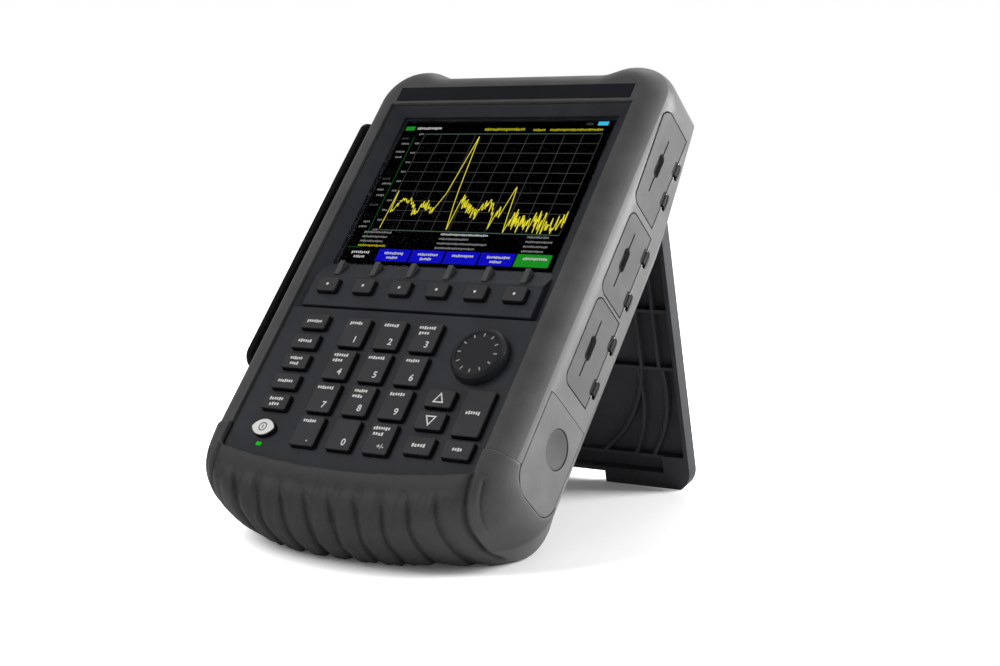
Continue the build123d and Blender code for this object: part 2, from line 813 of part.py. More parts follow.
# Rear case: back shell with door pockets, battery bay, connector well and stand recess
hinge_across = half_width - hinge_sunk
hinge_pin_half = knuckle_length / 2 + hinge_notch_gap + hinge_pin_reach
stand_recess_up = stand_hinge_up + stand_recess_top
stand_recess_low = stand_hinge_up - stand_foot - stand_recess_gap
stand_recess_half = stand_half + stand_recess_gap
with BuildPart() as rear_case:
    add(case_body.part)
    split(bisect_by=front(parting_out), keep=Keep.BOTTOM)
    with BuildSketch(front(parting_out)):
        block(-cavity_left, cavity_right, cavity_bottom, cavity_top)
    extrude(amount=-inner_floor - parting_out, mode=Mode.SUBTRACT)
    with BuildSketch(front(-spigot_back)):
        block(-spigot_half, spigot_half, spigot_bottom, boot_rim)
    extrude(amount=spigot_back + parting_out)
    with BuildSketch(front(parting_out)):
        block(wall - spigot_half, spigot_half - wall, spigot_bottom + wall, boot_rim)
    extrude(amount=wall - spigot_back - parting_out, mode=Mode.SUBTRACT)
    with BuildSketch(front(panel_back - display_thickness - running_gap)):
        block(-opening_half, opening_half, board_bottom - running_gap, backing_top + running_gap)
    extrude(amount=case_depth, mode=Mode.SUBTRACT)
    with BuildSketch(front(-case_depth)):
        block(-stand_recess_half, stand_recess_half, stand_recess_low, stand_recess_up)
    extrude(amount=back_wall, mode=Mode.SUBTRACT)
    with BuildSketch(level(case_height)):
        block(-well_half, well_half, well_front, well_back)
    extrude(amount=well_floor - case_height, mode=Mode.SUBTRACT)
    with BuildSketch(side(half_width)):
        seat_back = battery_door_back + running_gap
        seat_front = battery_door_front - running_gap
        block(boot_rim, battery_door_top + running_gap, -seat_back, -seat_front)
    extrude(amount=-battery_door_thickness - running_gap, mode=Mode.SUBTRACT)
    with BuildSketch(side(-bay_left)):
        block(bay_bottom, bay_top, -bay_back, -bay_front)
    extrude(amount=bay_left + half_width, mode=Mode.SUBTRACT)
    for name, (low, high) in door_spans.items():
        hinge_back = door_hinges[name]
        pocket_back = hinge_back - door_step - pocket_lip
        extrude(
            door_outline(half_width, name, door_gap),
            amount=-door_thickness - running_gap,
            mode=Mode.SUBTRACT,
        )
        with BuildSketch(side(pocket_floor)):
            block(low + pocket_margin, high - pocket_margin, -pocket_back, pocket_width - pocket_back)
        extrude(amount=half_width - pocket_floor, mode=Mode.SUBTRACT)
        for up in knuckles_of(name):
            with BuildSketch(side(half_width)):
                notch_half = knuckle_length / 2 + hinge_notch_gap
                notch_reach = knuckle_radius + 2 * running_gap
                block(up - notch_half, up + notch_half, -hinge_back - notch_reach, door_step - hinge_back)
            extrude(amount=-hinge_sunk - notch_reach, mode=Mode.SUBTRACT)
            with BuildSketch(level(up)):
                with Locations((hinge_across, hinge_back)):
                    Circle(hinge_pin_radius)
            extrude(amount=hinge_pin_half, both=True, mode=Mode.SUBTRACT)
    with BuildSketch(side(0)):
        with Locations((stand_hinge_up, -stand_hinge_back)):
            Circle(stand_pin_radius)
    extrude(amount=stand_recess_half + stand_pin_outside, both=True, mode=Mode.SUBTRACT)
    with BuildSketch(front(-case_depth)):
        with Locations(*screw_places):
            Circle(screw_head_radius + screw_gap)
    extrude(amount=screw_sunk + screw_head_height, mode=Mode.SUBTRACT)
    with BuildSketch(front(-case_depth)):
        with Locations(*screw_places):
            Circle(screw_radius + screw_gap)
    extrude(amount=screw_sunk + screw_head_height + screw_length, mode=Mode.SUBTRACT)
save(rear_case, "rear_case")

# Back plate: floor of the stand recess, behind the microwave module
with BuildPart() as back_plate:
    with BuildSketch(front(-inner_floor)):
        plate_half = stand_recess_half - back_plate_gap
        plate_low = stand_recess_low + back_plate_gap
        block(-plate_half, plate_half, plate_low, stand_recess_up - back_plate_gap)
    extrude(amount=stand_recess_depth - back_wall)
save(back_plate, "back_plate")


def boot_half(up):
    """Half width of the boot at a height, rounded towards the floor."""
    rounded = max(0.0, boot_side_rise - up) / (boot_side_rise - chin_up)
    return (half_width + boot_proud) * math.sqrt(1 - rounded**boot_side_power)


def boot_front(up):
    """Front of the boot at a height: a quarter ellipse below the lip."""
    rounded = max(0.0, boot_front_rise - up) / (boot_front_rise - chin_up)
    return round_out + (boot_front_out - round_out) * math.sqrt(1 - rounded**2)


def boot_back(up):
    """Back of the boot at a height: one large circle, and below it a flatter belly."""
    circle = math.sqrt(max(0.0, boot_radius**2 - (round_up - up) ** 2))
    belly = boot_chin_reach * math.sqrt((up - chin_up) / boot_chin_step)
    return round_out - max(circle, belly)


def boot_section(up, inset):
    """Section of the boot at a height, drawn in by inset: rounded front corners, bevelled back ones."""
    half = boot_half(up) - inset
    nose = -boot_front(up) + inset
    tail = -boot_back(up) - inset
    share = (tail - nose) / (case_depth + boot_back_out + boot_front_out)
    bevel_across = back_bevel_across * share
    bevel_deep = back_bevel_deep * share
    lowered = (boot_rim - up) / (boot_rim - chin_up)
    corner = (boot_corner + boot_corner_gain * lowered) * share**0.75
    corner = min(corner, boot_corner_fit * (tail - bevel_deep - nose))
    slant = corner * (1 - math.sqrt(0.5))
    with BuildSketch(level(up)) as section:
        with BuildLine():
            Polyline(
                (half, nose + corner),
                (half, tail - bevel_deep),
                (half - bevel_across, tail),
                (bevel_across - half, tail),
                (-half, tail - bevel_deep),
                (-half, nose + corner),
            )
            ThreePointArc((-half, nose + corner), (slant - half, nose + slant), (corner - half, nose))
            Line((corner - half, nose), (half - corner, nose))
            ThreePointArc((half - corner, nose), (half - slant, nose + slant), (half, nose + corner))
        make_face()
    return section.sketch


# Bottom boot: a soft cup with a land for the floor, ribs across its front and underside
boot_bottom = chin_up + boot_flat
upper_stations = [chin_up + boot_stops[2], chin_up + boot_stops[3], boot_front_rise, boot_rim]
boot_stations = [chin_up + boot_stops[0], chin_up + boot_stops[1], *upper_stations]
groove_span = (groove_count - 1) / 2 * groove_pitch
groove_places = [number * groove_pitch - groove_span for number in range(groove_count)]
with BuildPart() as boot_solid:
    loft([boot_section(up, 0) for up in [boot_bottom, *boot_stations]])
with BuildPart() as rib_core:
    loft([boot_section(up, groove_depth) for up in [boot_bottom + groove_depth, *boot_stations]])
with BuildPart() as boot_grooves:
    with BuildSketch(front(case_depth)):
        for place in groove_places:
            block(place - groove_width / 2, place + groove_width / 2, chin_up - wall, lip_mid - lip_band)
        for place in (-panel_half, panel_half):
            corner_half = corner_groove_width / 2
            block(place - corner_half, place + corner_half, chin_up - wall, boot_front_rise)
    extrude(amount=-3 * case_depth)
    add(rib_core.part, mode=Mode.SUBTRACT)
with BuildPart() as bottom_boot:
    add(boot_solid.part)
    cavity_stations = [boot_bottom + 2 * boot_wall, *upper_stations]
    loft([boot_section(up, boot_wall) for up in cavity_stations], mode=Mode.SUBTRACT)
    with BuildSketch(front(panel_back)):
        lip_gap = running_gap
        with BuildLine():
            ThreePointArc(
                (-panel_half - lip_gap, lip_side - lip_gap),
                (0, lip_mid - lip_gap),
                (panel_half + lip_gap, lip_side - lip_gap),
            )
            Polyline(
                (panel_half + lip_gap, lip_side - lip_gap),
                (panel_half + lip_gap, case_height),
                (-panel_half - lip_gap, case_height),
                (-panel_half - lip_gap, lip_side - lip_gap),
            )
        make_face()
    extrude(amount=case_depth, mode=Mode.SUBTRACT)
    with BuildSketch(side(half_width - battery_door_thickness - running_gap)) as door_cut:
        block(battery_door_bottom - running_gap, case_height, -seat_back, -seat_front)
        fillet(door_cut.vertices().group_by(Axis.X)[0], battery_door_round + running_gap)
    extrude(amount=case_depth, mode=Mode.SUBTRACT)
    add(boot_grooves.part, mode=Mode.SUBTRACT)
    split(bisect_by=Plane.XY, keep=Keep.TOP)
save(bottom_boot, "bottom_boot")

# Battery pack in its bay
with BuildPart() as battery_pack:
    with BuildSketch(side(bay_gap - bay_left)):
        block(bay_bottom, bay_top - 2 * bay_gap, -bay_back, -bay_front - 2 * bay_gap)
    extrude(amount=bay_left + half_width - battery_door_thickness - 3 * running_gap)
    fillet(battery_pack.edges().filter_by(Axis.X), 2 * wall)
save(battery_pack, "battery_pack")

# Battery door: slides straight out on the right side
with BuildPart() as battery_door:
    with BuildSketch(side(half_width - battery_door_thickness)) as door_shape:
        block(battery_door_bottom, battery_door_top, -battery_door_back, -battery_door_front)
        fillet(door_shape.vertices().group_by(Axis.X)[0], battery_door_round)
    extrude(amount=battery_door_thickness)
    with BuildSketch(level(battery_door_bottom)) as case_section:
        block(-half_width, half_width, 0, case_depth)
        fillet(case_section.vertices().group_by(Axis.Y)[0], rail_round)
    extrude(amount=battery_door_top - battery_door_bottom, mode=Mode.INTERSECT)
    with BuildSketch(side(half_width)):
        with Locations((button_up, -button_back)):
            Circle(button_radius)
    extrude(amount=-battery_door_thickness, mode=Mode.SUBTRACT)
    with BuildSketch(side(half_width - battery_door_thickness)):
        with Locations((button_up, -button_back)):
            Circle(button_radius + button_flange_lip)
    extrude(amount=battery_door_thickness - button_face_wall, mode=Mode.SUBTRACT)
save(battery_door, "battery_door")

# Battery latch button: a dished disc with a flange behind the door's face
with BuildPart() as battery_button:
    with BuildSketch(side(half_width - button_face_wall - button_flange)):
        with Locations((button_up, -button_back)):
            Circle(button_radius + button_flange_lip - running_gap)
    extrude(amount=button_flange)
    with BuildSketch(side(half_width - button_face_wall)):
        with Locations((button_up, -button_back)):
            Circle(button_radius - running_gap)
    extrude(amount=button_face_wall - button_sunk)
    dish_reach = button_radius - button_dish_rim
    dish_radius = (dish_reach**2 + button_dish**2) / (2 * button_dish)
    dish_across = half_width - button_sunk - button_dish + dish_radius
    with Locations(body_plane.from_local_coords((dish_across, button_up, -button_back))):
        Sphere(dish_radius, mode=Mode.SUBTRACT)
save(battery_button, "battery_button")

# Connector doors with their knuckles, following the shape of the case
for name, (low, high) in door_spans.items():
    hinge_back = door_hinges[name]
    with BuildPart() as door:
        add(case_body.part)
        door_inside = half_width - door_thickness
        extrude(door_outline(door_inside, name, 0), amount=door_thickness, mode=Mode.INTERSECT)
        with BuildSketch(side(half_width)):
            with Locations(((low + high) / 2, pull_from_hinge - hinge_back)):
                SlotOverall(slit_length, slit_width)
        extrude(amount=-slit_depth, mode=Mode.SUBTRACT)
        with BuildSketch(side(half_width)):
            with Locations(((low + high) / 2, pull_from_hinge - hinge_back)):
                SlotOverall(pull_length, pull_width)
        extrude(amount=-pull_depth, mode=Mode.SUBTRACT)
        for up in knuckles_of(name):
            with BuildSketch(level(up)):
                with Locations((hinge_across, hinge_back)):
                    Circle(knuckle_radius)
                arm_inside = hinge_across - knuckle_radius / 2
                block(arm_inside, half_width, hinge_back - door_step - tiny, hinge_back)
            extrude(amount=knuckle_length / 2, both=True)
            with BuildSketch(level(up)):
                with Locations((hinge_across, hinge_back)):
                    Circle(hinge_pin_radius + shaft_gap)
            extrude(amount=knuckle_length, both=True, mode=Mode.SUBTRACT)
    save(door, name)

# Door hinge pins, fixed in the case
with BuildPart() as door_hinge_pins:
    for name, hinge_back in door_hinges.items():
        for up in knuckles_of(name):
            with BuildSketch(level(up)):
                with Locations((hinge_across, hinge_back)):
                    Circle(hinge_pin_radius)
            extrude(amount=hinge_pin_half, both=True)
save(door_hinge_pins, "door_hinge_pins")

# Sockets behind the doors
socket_outs = [pocket_width / 2 + door_step + pocket_lip - back for back in door_hinges.values()]
lower_mid, middle_mid, upper_mid = [(low + high) / 2 for low, high in door_spans.values()]
network_place = (lower_mid + power_jack_radius + jack_spacing / 2, socket_outs[0])
jack_place = (lower_mid - network_size[0] / 2 - jack_spacing / 2, socket_outs[0])
usb_shift = (usb_size[0] + socket_spacing) / 2
usb_places = [(middle_mid + shift, socket_outs[1]) for shift in (-usb_shift, usb_shift)]
card_place = (upper_mid, socket_outs[2])
with BuildPart() as side_sockets:
    with BuildSketch(side(pocket_floor)):
        with Locations(network_place):
            Rectangle(*network_size)
        with Locations(jack_place):
            Circle(power_jack_radius)
        with Locations(*usb_places):
            Rectangle(*usb_size)
        with Locations(card_place):
            Rectangle(*card_size)
    extrude(amount=socket_reach)
    with BuildSketch(side(pocket_floor + socket_reach)):
        with Locations(network_place):
            Rectangle(*network_hole)
        with Locations(jack_place):
            Circle(power_jack_hole)
        with Locations(*usb_places):
            Rectangle(*usb_hole)
        with Locations(card_place):
            Rectangle(*card_hole)
    extrude(amount=-socket_depth, mode=Mode.SUBTRACT)
save(side_sockets, "side_sockets")

# Microwave module on the back wall, with the main board on its front
module_bottom = cavity_bottom + module_margin
module_top = cavity_top - module_margin
with BuildPart() as microwave_module:
    with BuildSketch(front(-inner_floor)) as module_shape:
        module_half = cavity_right - module_side
        block(-module_half, module_half, module_bottom, module_top)
        fillet(module_shape.vertices(), module_lid_round)
    extrude(amount=module_thickness)
save(microwave_module, "microwave_module")

with BuildPart() as main_board:
    with BuildSketch(front(module_thickness - inner_floor)):
        block(running_gap - cavity_right, cavity_right - running_gap, module_bottom, module_top)
    extrude(amount=board_thickness)
save(main_board, "main_board")


def port_profile(foot, radius, length, flange_radius, bore, bore_depth, pin):
    """Half section of a coaxial port standing on the well floor."""
    top = port_flange + length
    with BuildSketch(Plane(foot, x_dir=(1, 0, 0), z_dir=out_dir)) as profile:
        with BuildLine():
            Polyline(
                (0, 0),
                (flange_radius, 0),
                (flange_radius, port_flange),
                (radius, port_flange),
                (radius, top),
                (bore, top),
                (bore, top - bore_depth),
                (pin, top - bore_depth),
                (pin, top - port_pin_sunk),
                (0, top - port_pin_sunk),
                close=True,
            )
        make_face()
    return profile.sketch


# Coaxial ports on the floor of the top well
with BuildPart() as signal_ports:
    for across in (-port_spread, port_spread):
        foot = body_plane.from_local_coords((across, well_floor, -port_back))
        profile = port_profile(
            foot, port_radius, port_length, port_flange_radius, port_bore, port_bore_depth, port_pin
        )
        revolve(profile, axis=Axis(foot, up_dir))
    for across in (-small_port_spread, small_port_spread):
        foot = body_plane.from_local_coords((across, well_floor, -port_back))
        profile = port_profile(
            foot,
            small_port_radius,
            small_port_length,
            small_port_flange_radius,
            small_port_bore,
            small_port_bore_depth,
            small_port_pin,
        )
        revolve(profile, axis=Axis(foot, up_dir))
save(signal_ports, "signal_ports")

# Case screws from the back
with BuildPart() as case_screws:
    with BuildSketch(front(-case_depth + screw_sunk)):
        with Locations(*screw_places):
            Circle(screw_head_radius)
            RegularPolygon(screw_radius, 6, mode=Mode.SUBTRACT)
    extrude(amount=screw_head_height / 2)
    with BuildSketch(front(-case_depth + screw_sunk + screw_head_height / 2)):
        with Locations(*screw_places):
            Circle(screw_head_radius)
    extrude(amount=screw_head_height / 2)
    with BuildSketch(front(-case_depth + screw_sunk + screw_head_height)):
        with Locations(*screw_places):
            Circle(screw_radius)
    extrude(amount=screw_length - screw_gap)
save(case_screws, "case_screws")

# Kick stand, drawn at rest: open, with its feet on the floor
with BuildPart() as kick_stand:
    with BuildSketch(stand_face(stand_outer)) as stand_shape:
        block(-stand_half, stand_half, -stand_foot, 0)
        fillet(stand_shape.vertices().group_by(Axis.Y)[0], stand_corner)
        with Locations((0, -stand_foot)):
            Rectangle(2 * stand_notch_half, 2 * stand_notch_height, mode=Mode.SUBTRACT)
    extrude(amount=stand_thickness)
    split(bisect_by=Plane.XY, keep=Keep.TOP)
    step_up = stand_step_height - stand_foot
    with BuildSketch(stand_face(stand_outer + stand_skin)):
        inside = stand_half - stand_rim
        block(-inside, inside, step_up, -stand_barrel - stand_rim)
        foot_up = stand_notch_height + stand_rim - stand_foot
        block(stand_corner - inside, inside - stand_corner, foot_up, step_up)
    extrude(amount=stand_thickness, mode=Mode.SUBTRACT)
    with BuildSketch(stand_face(stand_outer + stand_skin)):
        for drop in stand_cross_ribs:
            block(-inside - tiny, inside + tiny, -drop - stand_rib / 2, -drop + stand_rib / 2)
        block(-inside - tiny, inside + tiny, step_up - stand_rib, step_up)
        for across in stand_long_ribs:
            for place in (-across, across):
                block(place - stand_rib / 2, place + stand_rib / 2, -stand_fan_top, -stand_barrel)
        for mirrored in (-1, 1):
            for start, bend, end in stand_fan_ribs:
                with BuildLine() as fan:
                    ThreePointArc(
                        (mirrored * start, -stand_fan_top),
                        (mirrored * bend, -stand_fan_top + stand_fan_share * (step_up + stand_fan_top)),
                        (mirrored * end, step_up),
                    )
                trace(fan.line, line_width=stand_rib)
    extrude(amount=stand_rib_height)
    with BuildSketch(hinge_section):
        Circle(stand_barrel)
        block(stand_outer, stand_outer + stand_heel_thick, -stand_heel, 0)
    extrude(amount=stand_half, both=True)
    with BuildSketch(hinge_section):
        Circle(stand_pin_radius + shaft_gap)
    extrude(amount=stand_half, both=True, mode=Mode.SUBTRACT)
save(kick_stand, "kick_stand")

# Stand hinge pins, fixed in the case on each side
with BuildPart() as stand_hinge_pins:
    for sign in (-1, 1):
        start = side(sign * (stand_half - stand_pin_inside))
        with BuildSketch(start):
            with Locations((stand_hinge_up, -stand_hinge_back)):
                Circle(stand_pin_radius)
        extrude(amount=sign * (stand_pin_inside + stand_recess_gap + stand_pin_outside))
save(stand_hinge_pins, "stand_hinge_pins")

# Strap anchors on the left side
anchor_base = {anchor_low: -half_width - boot_proud, anchor_high: -half_width}
with BuildPart() as strap_anchors:
    for up, base in anchor_base.items():
        with BuildSketch(side(base + anchor_sink)) as anchor_shape:
            block(
                up - anchor_length / 2,
                up + anchor_length / 2,
                -webbing_back - anchor_cheek,
                -webbing_front + anchor_cheek,
            )
            fillet(anchor_shape.vertices(), anchor_round)
        extrude(amount=-anchor_sink - anchor_thickness)
        with BuildSketch(level(up)):
            slot_low = base - anchor_slot_sunk - webbing_thickness - 2 * slot_gap
            block(
                slot_low,
                base - anchor_slot_sunk,
                webbing_front - slot_gap,
                webbing_back + slot_gap,
            )
        extrude(amount=anchor_length, both=True, mode=Mode.SUBTRACT)
    add(case_body.part, mode=Mode.SUBTRACT)
    add(boot_solid.part, mode=Mode.SUBTRACT)
save(strap_anchors, "strap_anchors")

# Strap webbing through both anchors, and the pad on it
pad_inner = -half_width - strap_stand_off
low_line = anchor_base[anchor_low] - anchor_slot_sunk - slot_gap - webbing_thickness / 2
high_line = anchor_base[anchor_high] - anchor_slot_sunk - slot_gap - webbing_thickness / 2
pad_line = pad_inner + webbing_thickness / 2
with BuildPart() as strap_webbing:
    with BuildSketch(front(-webbing_back)):
        with BuildLine() as strap_run:
            FilletPolyline(
                (low_line, anchor_low - anchor_length / 2 - webbing_tail),
                (low_line, strap_pad_low - 2 * webbing_bend),
                (pad_line, strap_pad_low + webbing_bend),
                (pad_line, strap_pad_high - webbing_bend),
                (high_line, anchor_high - anchor_length / 2 - webbing_tail),
                (high_line, anchor_high + anchor_length / 2 + webbing_tail),
                radius=webbing_bend / 2,
            )
        trace(strap_run.line, line_width=webbing_thickness)
    extrude(amount=webbing_back - webbing_front)
save(strap_webbing, "strap_webbing")

with BuildPart() as strap_pad:
    with BuildSketch(side(pad_inner)) as pad_shape:
        block(strap_pad_low, strap_pad_high, -strap_pad_back, -strap_pad_front)
        fillet(pad_shape.vertices(), strap_pad_round)
    extrude(amount=-strap_pad_thickness)
    fillet(strap_pad.faces().sort_by(Axis.X)[0].edges(), strap_pad_edge)
save(strap_pad, "strap_pad")
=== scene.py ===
import json
import math

import bmesh
import bpy
from mathutils import Matrix, Vector


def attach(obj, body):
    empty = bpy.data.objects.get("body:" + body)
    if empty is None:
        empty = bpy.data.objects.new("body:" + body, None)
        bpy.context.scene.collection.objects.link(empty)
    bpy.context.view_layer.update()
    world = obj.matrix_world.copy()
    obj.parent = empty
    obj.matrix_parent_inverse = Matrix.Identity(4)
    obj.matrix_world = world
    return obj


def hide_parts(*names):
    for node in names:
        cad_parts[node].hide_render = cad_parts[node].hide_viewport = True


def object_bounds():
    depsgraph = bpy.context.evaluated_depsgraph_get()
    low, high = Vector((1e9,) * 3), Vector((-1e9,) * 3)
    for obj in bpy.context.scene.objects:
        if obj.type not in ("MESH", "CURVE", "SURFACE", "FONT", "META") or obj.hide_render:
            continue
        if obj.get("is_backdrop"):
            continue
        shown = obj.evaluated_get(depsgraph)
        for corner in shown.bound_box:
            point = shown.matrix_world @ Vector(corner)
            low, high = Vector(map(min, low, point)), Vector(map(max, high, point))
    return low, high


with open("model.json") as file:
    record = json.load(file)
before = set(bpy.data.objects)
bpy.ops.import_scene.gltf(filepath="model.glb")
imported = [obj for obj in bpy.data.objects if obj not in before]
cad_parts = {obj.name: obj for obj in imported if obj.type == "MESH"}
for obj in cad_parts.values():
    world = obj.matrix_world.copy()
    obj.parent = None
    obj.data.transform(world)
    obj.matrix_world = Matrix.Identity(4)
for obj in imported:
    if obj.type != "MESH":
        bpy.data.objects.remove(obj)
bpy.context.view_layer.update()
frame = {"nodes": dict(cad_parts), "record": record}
nodes = frame["nodes"]

# The body leans back: across to the right, up along the body, out towards the user.
# Sizes on the body are in millimetres, as in the part's source.
lean = math.radians(41.0)
up_dir = Vector((0, math.sin(lean), math.cos(lean)))
out_dir = Vector((0, -math.cos(lean), math.sin(lean)))
land_up, land_out = 52.2 - 51.2 * math.cos(lean), -20.8 - 51.2 * math.sin(lean)
body_axes = Matrix(((1, 0, 0), up_dir, out_dir)).transposed().to_4x4()
body_axes = Matrix.Scale(0.001, 4) @ body_axes @ Matrix.Translation((0, -land_up, -land_out))


# Materials

# Hollows on the right side, painted black as shade: height, out, half height, half width and roundness of each
hinge_places = ((107.1, -42.0), (133.1, -42.0), (159.1, -40.5), (185.9, -40.5), (220.6, -37.5), (240.5, -37.5))
pull_places = ((120.1, -25.5), (172.5, -24.0), (230.55, -21.0))
shaded_side_hollows = [(up, out, 4.6, 3.7, 5.0) for up, out in hinge_places]
shaded_side_hollows += [(up, out, 7.0, 2.7, 2.0) for up, out in pull_places]


def math_node(tree, operation, first, second):
    """Arithmetic on two sockets or numbers."""
    node = tree.nodes.new("ShaderNodeMath")
    node.operation = operation
    for socket, value in zip(node.inputs, (first, second)):
        if isinstance(value, (int, float)):
            socket.default_value = value
        else:
            tree.links.new(value, socket)
    return node.outputs["Value"]


def along(tree, place, axis, start):
    """Millimetres along one of the body's axes."""
    node = tree.nodes.new("ShaderNodeVectorMath")
    node.operation = "DOT_PRODUCT"
    node.inputs[1].default_value = [1000 * part for part in axis]
    tree.links.new(place.outputs["Object"], node.inputs[0])
    return math_node(tree, "ADD", node.outputs["Value"], start)


def side_hollow_shade(tree, place):
    """1 inside any of the hollows on the right side, where black is painted as shade, 0 elsewhere."""
    up = along(tree, place, up_dir, land_up)
    out = along(tree, place, out_dir, land_out)
    across = along(tree, place, (1, 0, 0), 0.0)
    mask = 0.0
    for middle_up, middle_out, half_up, half_out, roundness in shaded_side_hollows:
        terms = []
        for value, middle, half in ((up, middle_up, half_up), (out, middle_out, half_out)):
            away = math_node(tree, "ABSOLUTE", math_node(tree, "SUBTRACT", value, middle), 0.0)
            terms.append(math_node(tree, "POWER", math_node(tree, "DIVIDE", away, half), roundness))
        inside = math_node(tree, "LESS_THAN", math_node(tree, "ADD", *terms), 1.0)
        mask = math_node(tree, "MAXIMUM", inside, mask)
    return math_node(tree, "MULTIPLY", mask, math_node(tree, "GREATER_THAN", across, 85.0))


def mixed(tree, share, first, second):
    """Colour between two, by a share of 0 to 1."""
    node = tree.nodes.new("ShaderNodeMix")
    node.data_type = "RGBA"
    tree.links.new(share, node.inputs["Factor"])
    for name, colour in (("A", first), ("B", second)):
        if isinstance(colour, tuple):
            node.inputs[name].default_value = colour
        else:
            tree.links.new(colour, node.inputs[name])
    return node.outputs["Result"]


def ranged(tree, value, start, end):
    """0 before start and 1 after end."""
    share = tree.nodes.new("ShaderNodeMapRange")
    share.inputs["From Min"].default_value = start
    share.inputs["From Max"].default_value = end
    tree.links.new(value, share.inputs["Value"])
    return share.outputs["Result"]


def standing_wall(tree, place):
    """1 on walls that stand up from the panel, 0 on faces that look at the user; the keys' walls get painted shade by
    it.
    """
    node = tree.nodes.new("ShaderNodeVectorMath")
    node.operation = "DOT_PRODUCT"
    node.inputs[1].default_value = out_dir
    tree.links.new(place.outputs["Normal"], node.inputs[0])
    return ranged(tree, node.outputs["Value"], 0.95, 0.45)


def kept_on_mesh(name, start, end):
    """Share read from a value that the piece's own mesh holds."""

    def read(tree, place):
        node = tree.nodes.new("ShaderNodeAttribute")
        node.attribute_name = name
        return ranged(tree, node.outputs["Fac"], start, end)

    return read


def finish_of(name, colour, rough, grain=0.0, size=900.0, spread=0.12, shine=0.3, metallic=0.0, layers=()):
    """Moulded surface: slow patches of tone, fine grain in relief and gloss, soft edges, and layers of painted shade in
    other colours.
    """
    material = bpy.data.materials.new(name)
    material.use_nodes = True
    tree = material.node_tree
    shader = tree.nodes["Principled BSDF"]
    place = tree.nodes.new("ShaderNodeTexCoord")
    tone = tree.nodes.new("ShaderNodeTexNoise")
    tone.inputs["Scale"].default_value = 60.0
    tone.inputs["Detail"].default_value = 3.0
    ramp = tree.nodes.new("ShaderNodeValToRGB")
    ramp.color_ramp.elements[0].position = 0.3
    ramp.color_ramp.elements[1].position = 0.7
    ramp.color_ramp.elements[0].color = (*[part * (1 - spread) for part in colour], 1)
    ramp.color_ramp.elements[1].color = (*[part * (1 + spread) for part in colour], 1)
    tree.links.new(place.outputs["Object"], tone.inputs["Vector"])
    tree.links.new(tone.outputs["Fac"], ramp.inputs["Fac"])
    coloured = ramp.outputs["Color"]
    for share_of, layer_colour in layers:
        coloured = mixed(tree, share_of(tree, place), coloured, (*layer_colour, 1))
    tree.links.new(coloured, shader.inputs["Base Color"])
    gloss = tree.nodes.new("ShaderNodeMapRange")
    gloss.inputs["To Min"].default_value = max(0.03, rough - 0.06)
    gloss.inputs["To Max"].default_value = min(1.0, rough + 0.06)
    fine = tree.nodes.new("ShaderNodeTexNoise")
    fine.inputs["Scale"].default_value = size
    fine.inputs["Detail"].default_value = 2.0
    tree.links.new(place.outputs["Object"], fine.inputs["Vector"])
    tree.links.new(fine.outputs["Fac"], gloss.inputs["Value"])
    tree.links.new(gloss.outputs["Result"], shader.inputs["Roughness"])
    edge = tree.nodes.new("ShaderNodeBevel")
    edge.samples = 4
    edge.inputs["Radius"].default_value = 0.0005
    relief = tree.nodes.new("ShaderNodeBump")
    relief.inputs["Strength"].default_value = grain
    relief.inputs["Distance"].default_value = 0.0003
    tree.links.new(fine.outputs["Fac"], relief.inputs["Height"])
    tree.links.new(edge.outputs["Normal"], relief.inputs["Normal"])
    tree.links.new(relief.outputs["Normal"], shader.inputs["Normal"])
    shader.inputs["Metallic"].default_value = metallic
    shader.inputs["Specular IOR Level"].default_value = shine
    return material


def lit(name, colour):
    """Lit part of the display."""
    material = bpy.data.materials.new(name)
    material.use_nodes = True
    shader = material.node_tree.nodes["Principled BSDF"]
    shader.inputs["Base Color"].default_value = (0.002, 0.002, 0.002, 1)
    shader.inputs["Roughness"].default_value = 0.5
    shader.inputs["Specular IOR Level"].default_value = 0.0
    shader.inputs["Emission Color"].default_value = (*colour, 1)
    shader.inputs["Emission Strength"].default_value = 1.0
    return material


def banded(name, colour, pitches, rough, metallic=0.0, shine=0.2):
    """Bands that cross the body: threads of a cloth for two pitches, a screw thread for one."""
    material = bpy.data.materials.new(name)
    material.use_nodes = True
    tree = material.node_tree
    shader = tree.nodes["Principled BSDF"]
    place = tree.nodes.new("ShaderNodeTexCoord")
    turn = tree.nodes.new("ShaderNodeMapping")
    turn.inputs["Rotation"].default_value = (lean, 0, 0)
    tree.links.new(place.outputs["Object"], turn.inputs["Vector"])
    height = 1.0
    for direction, pitch in zip(("Z", "Y"), pitches):
        band = tree.nodes.new("ShaderNodeTexWave")
        band.bands_direction = direction
        band.inputs["Scale"].default_value = math.pi / (10 * pitch)
        band.inputs["Distortion"].default_value = 0.6 if len(pitches) == 2 else 0.0
        tree.links.new(turn.outputs["Vector"], band.inputs["Vector"])
        height = math_node(tree, "MULTIPLY", band.outputs["Fac"], height)
    ramp = tree.nodes.new("ShaderNodeValToRGB")
    ramp.color_ramp.elements[0].color = (*[part * 0.5 for part in colour], 1)
    ramp.color_ramp.elements[1].color = (*[part * 1.5 for part in colour], 1)
    tree.links.new(height, ramp.inputs["Fac"])
    tree.links.new(ramp.outputs["Color"], shader.inputs["Base Color"])
    relief = tree.nodes.new("ShaderNodeBump")
    relief.inputs["Strength"].default_value = 0.7
    relief.inputs["Distance"].default_value = 0.0004
    tree.links.new(height, relief.inputs["Height"])
    tree.links.new(relief.outputs["Normal"], shader.inputs["Normal"])
    shader.inputs["Roughness"].default_value = rough
    shader.inputs["Metallic"].default_value = metallic
    shader.inputs["Specular IOR Level"].default_value = shine
    return material


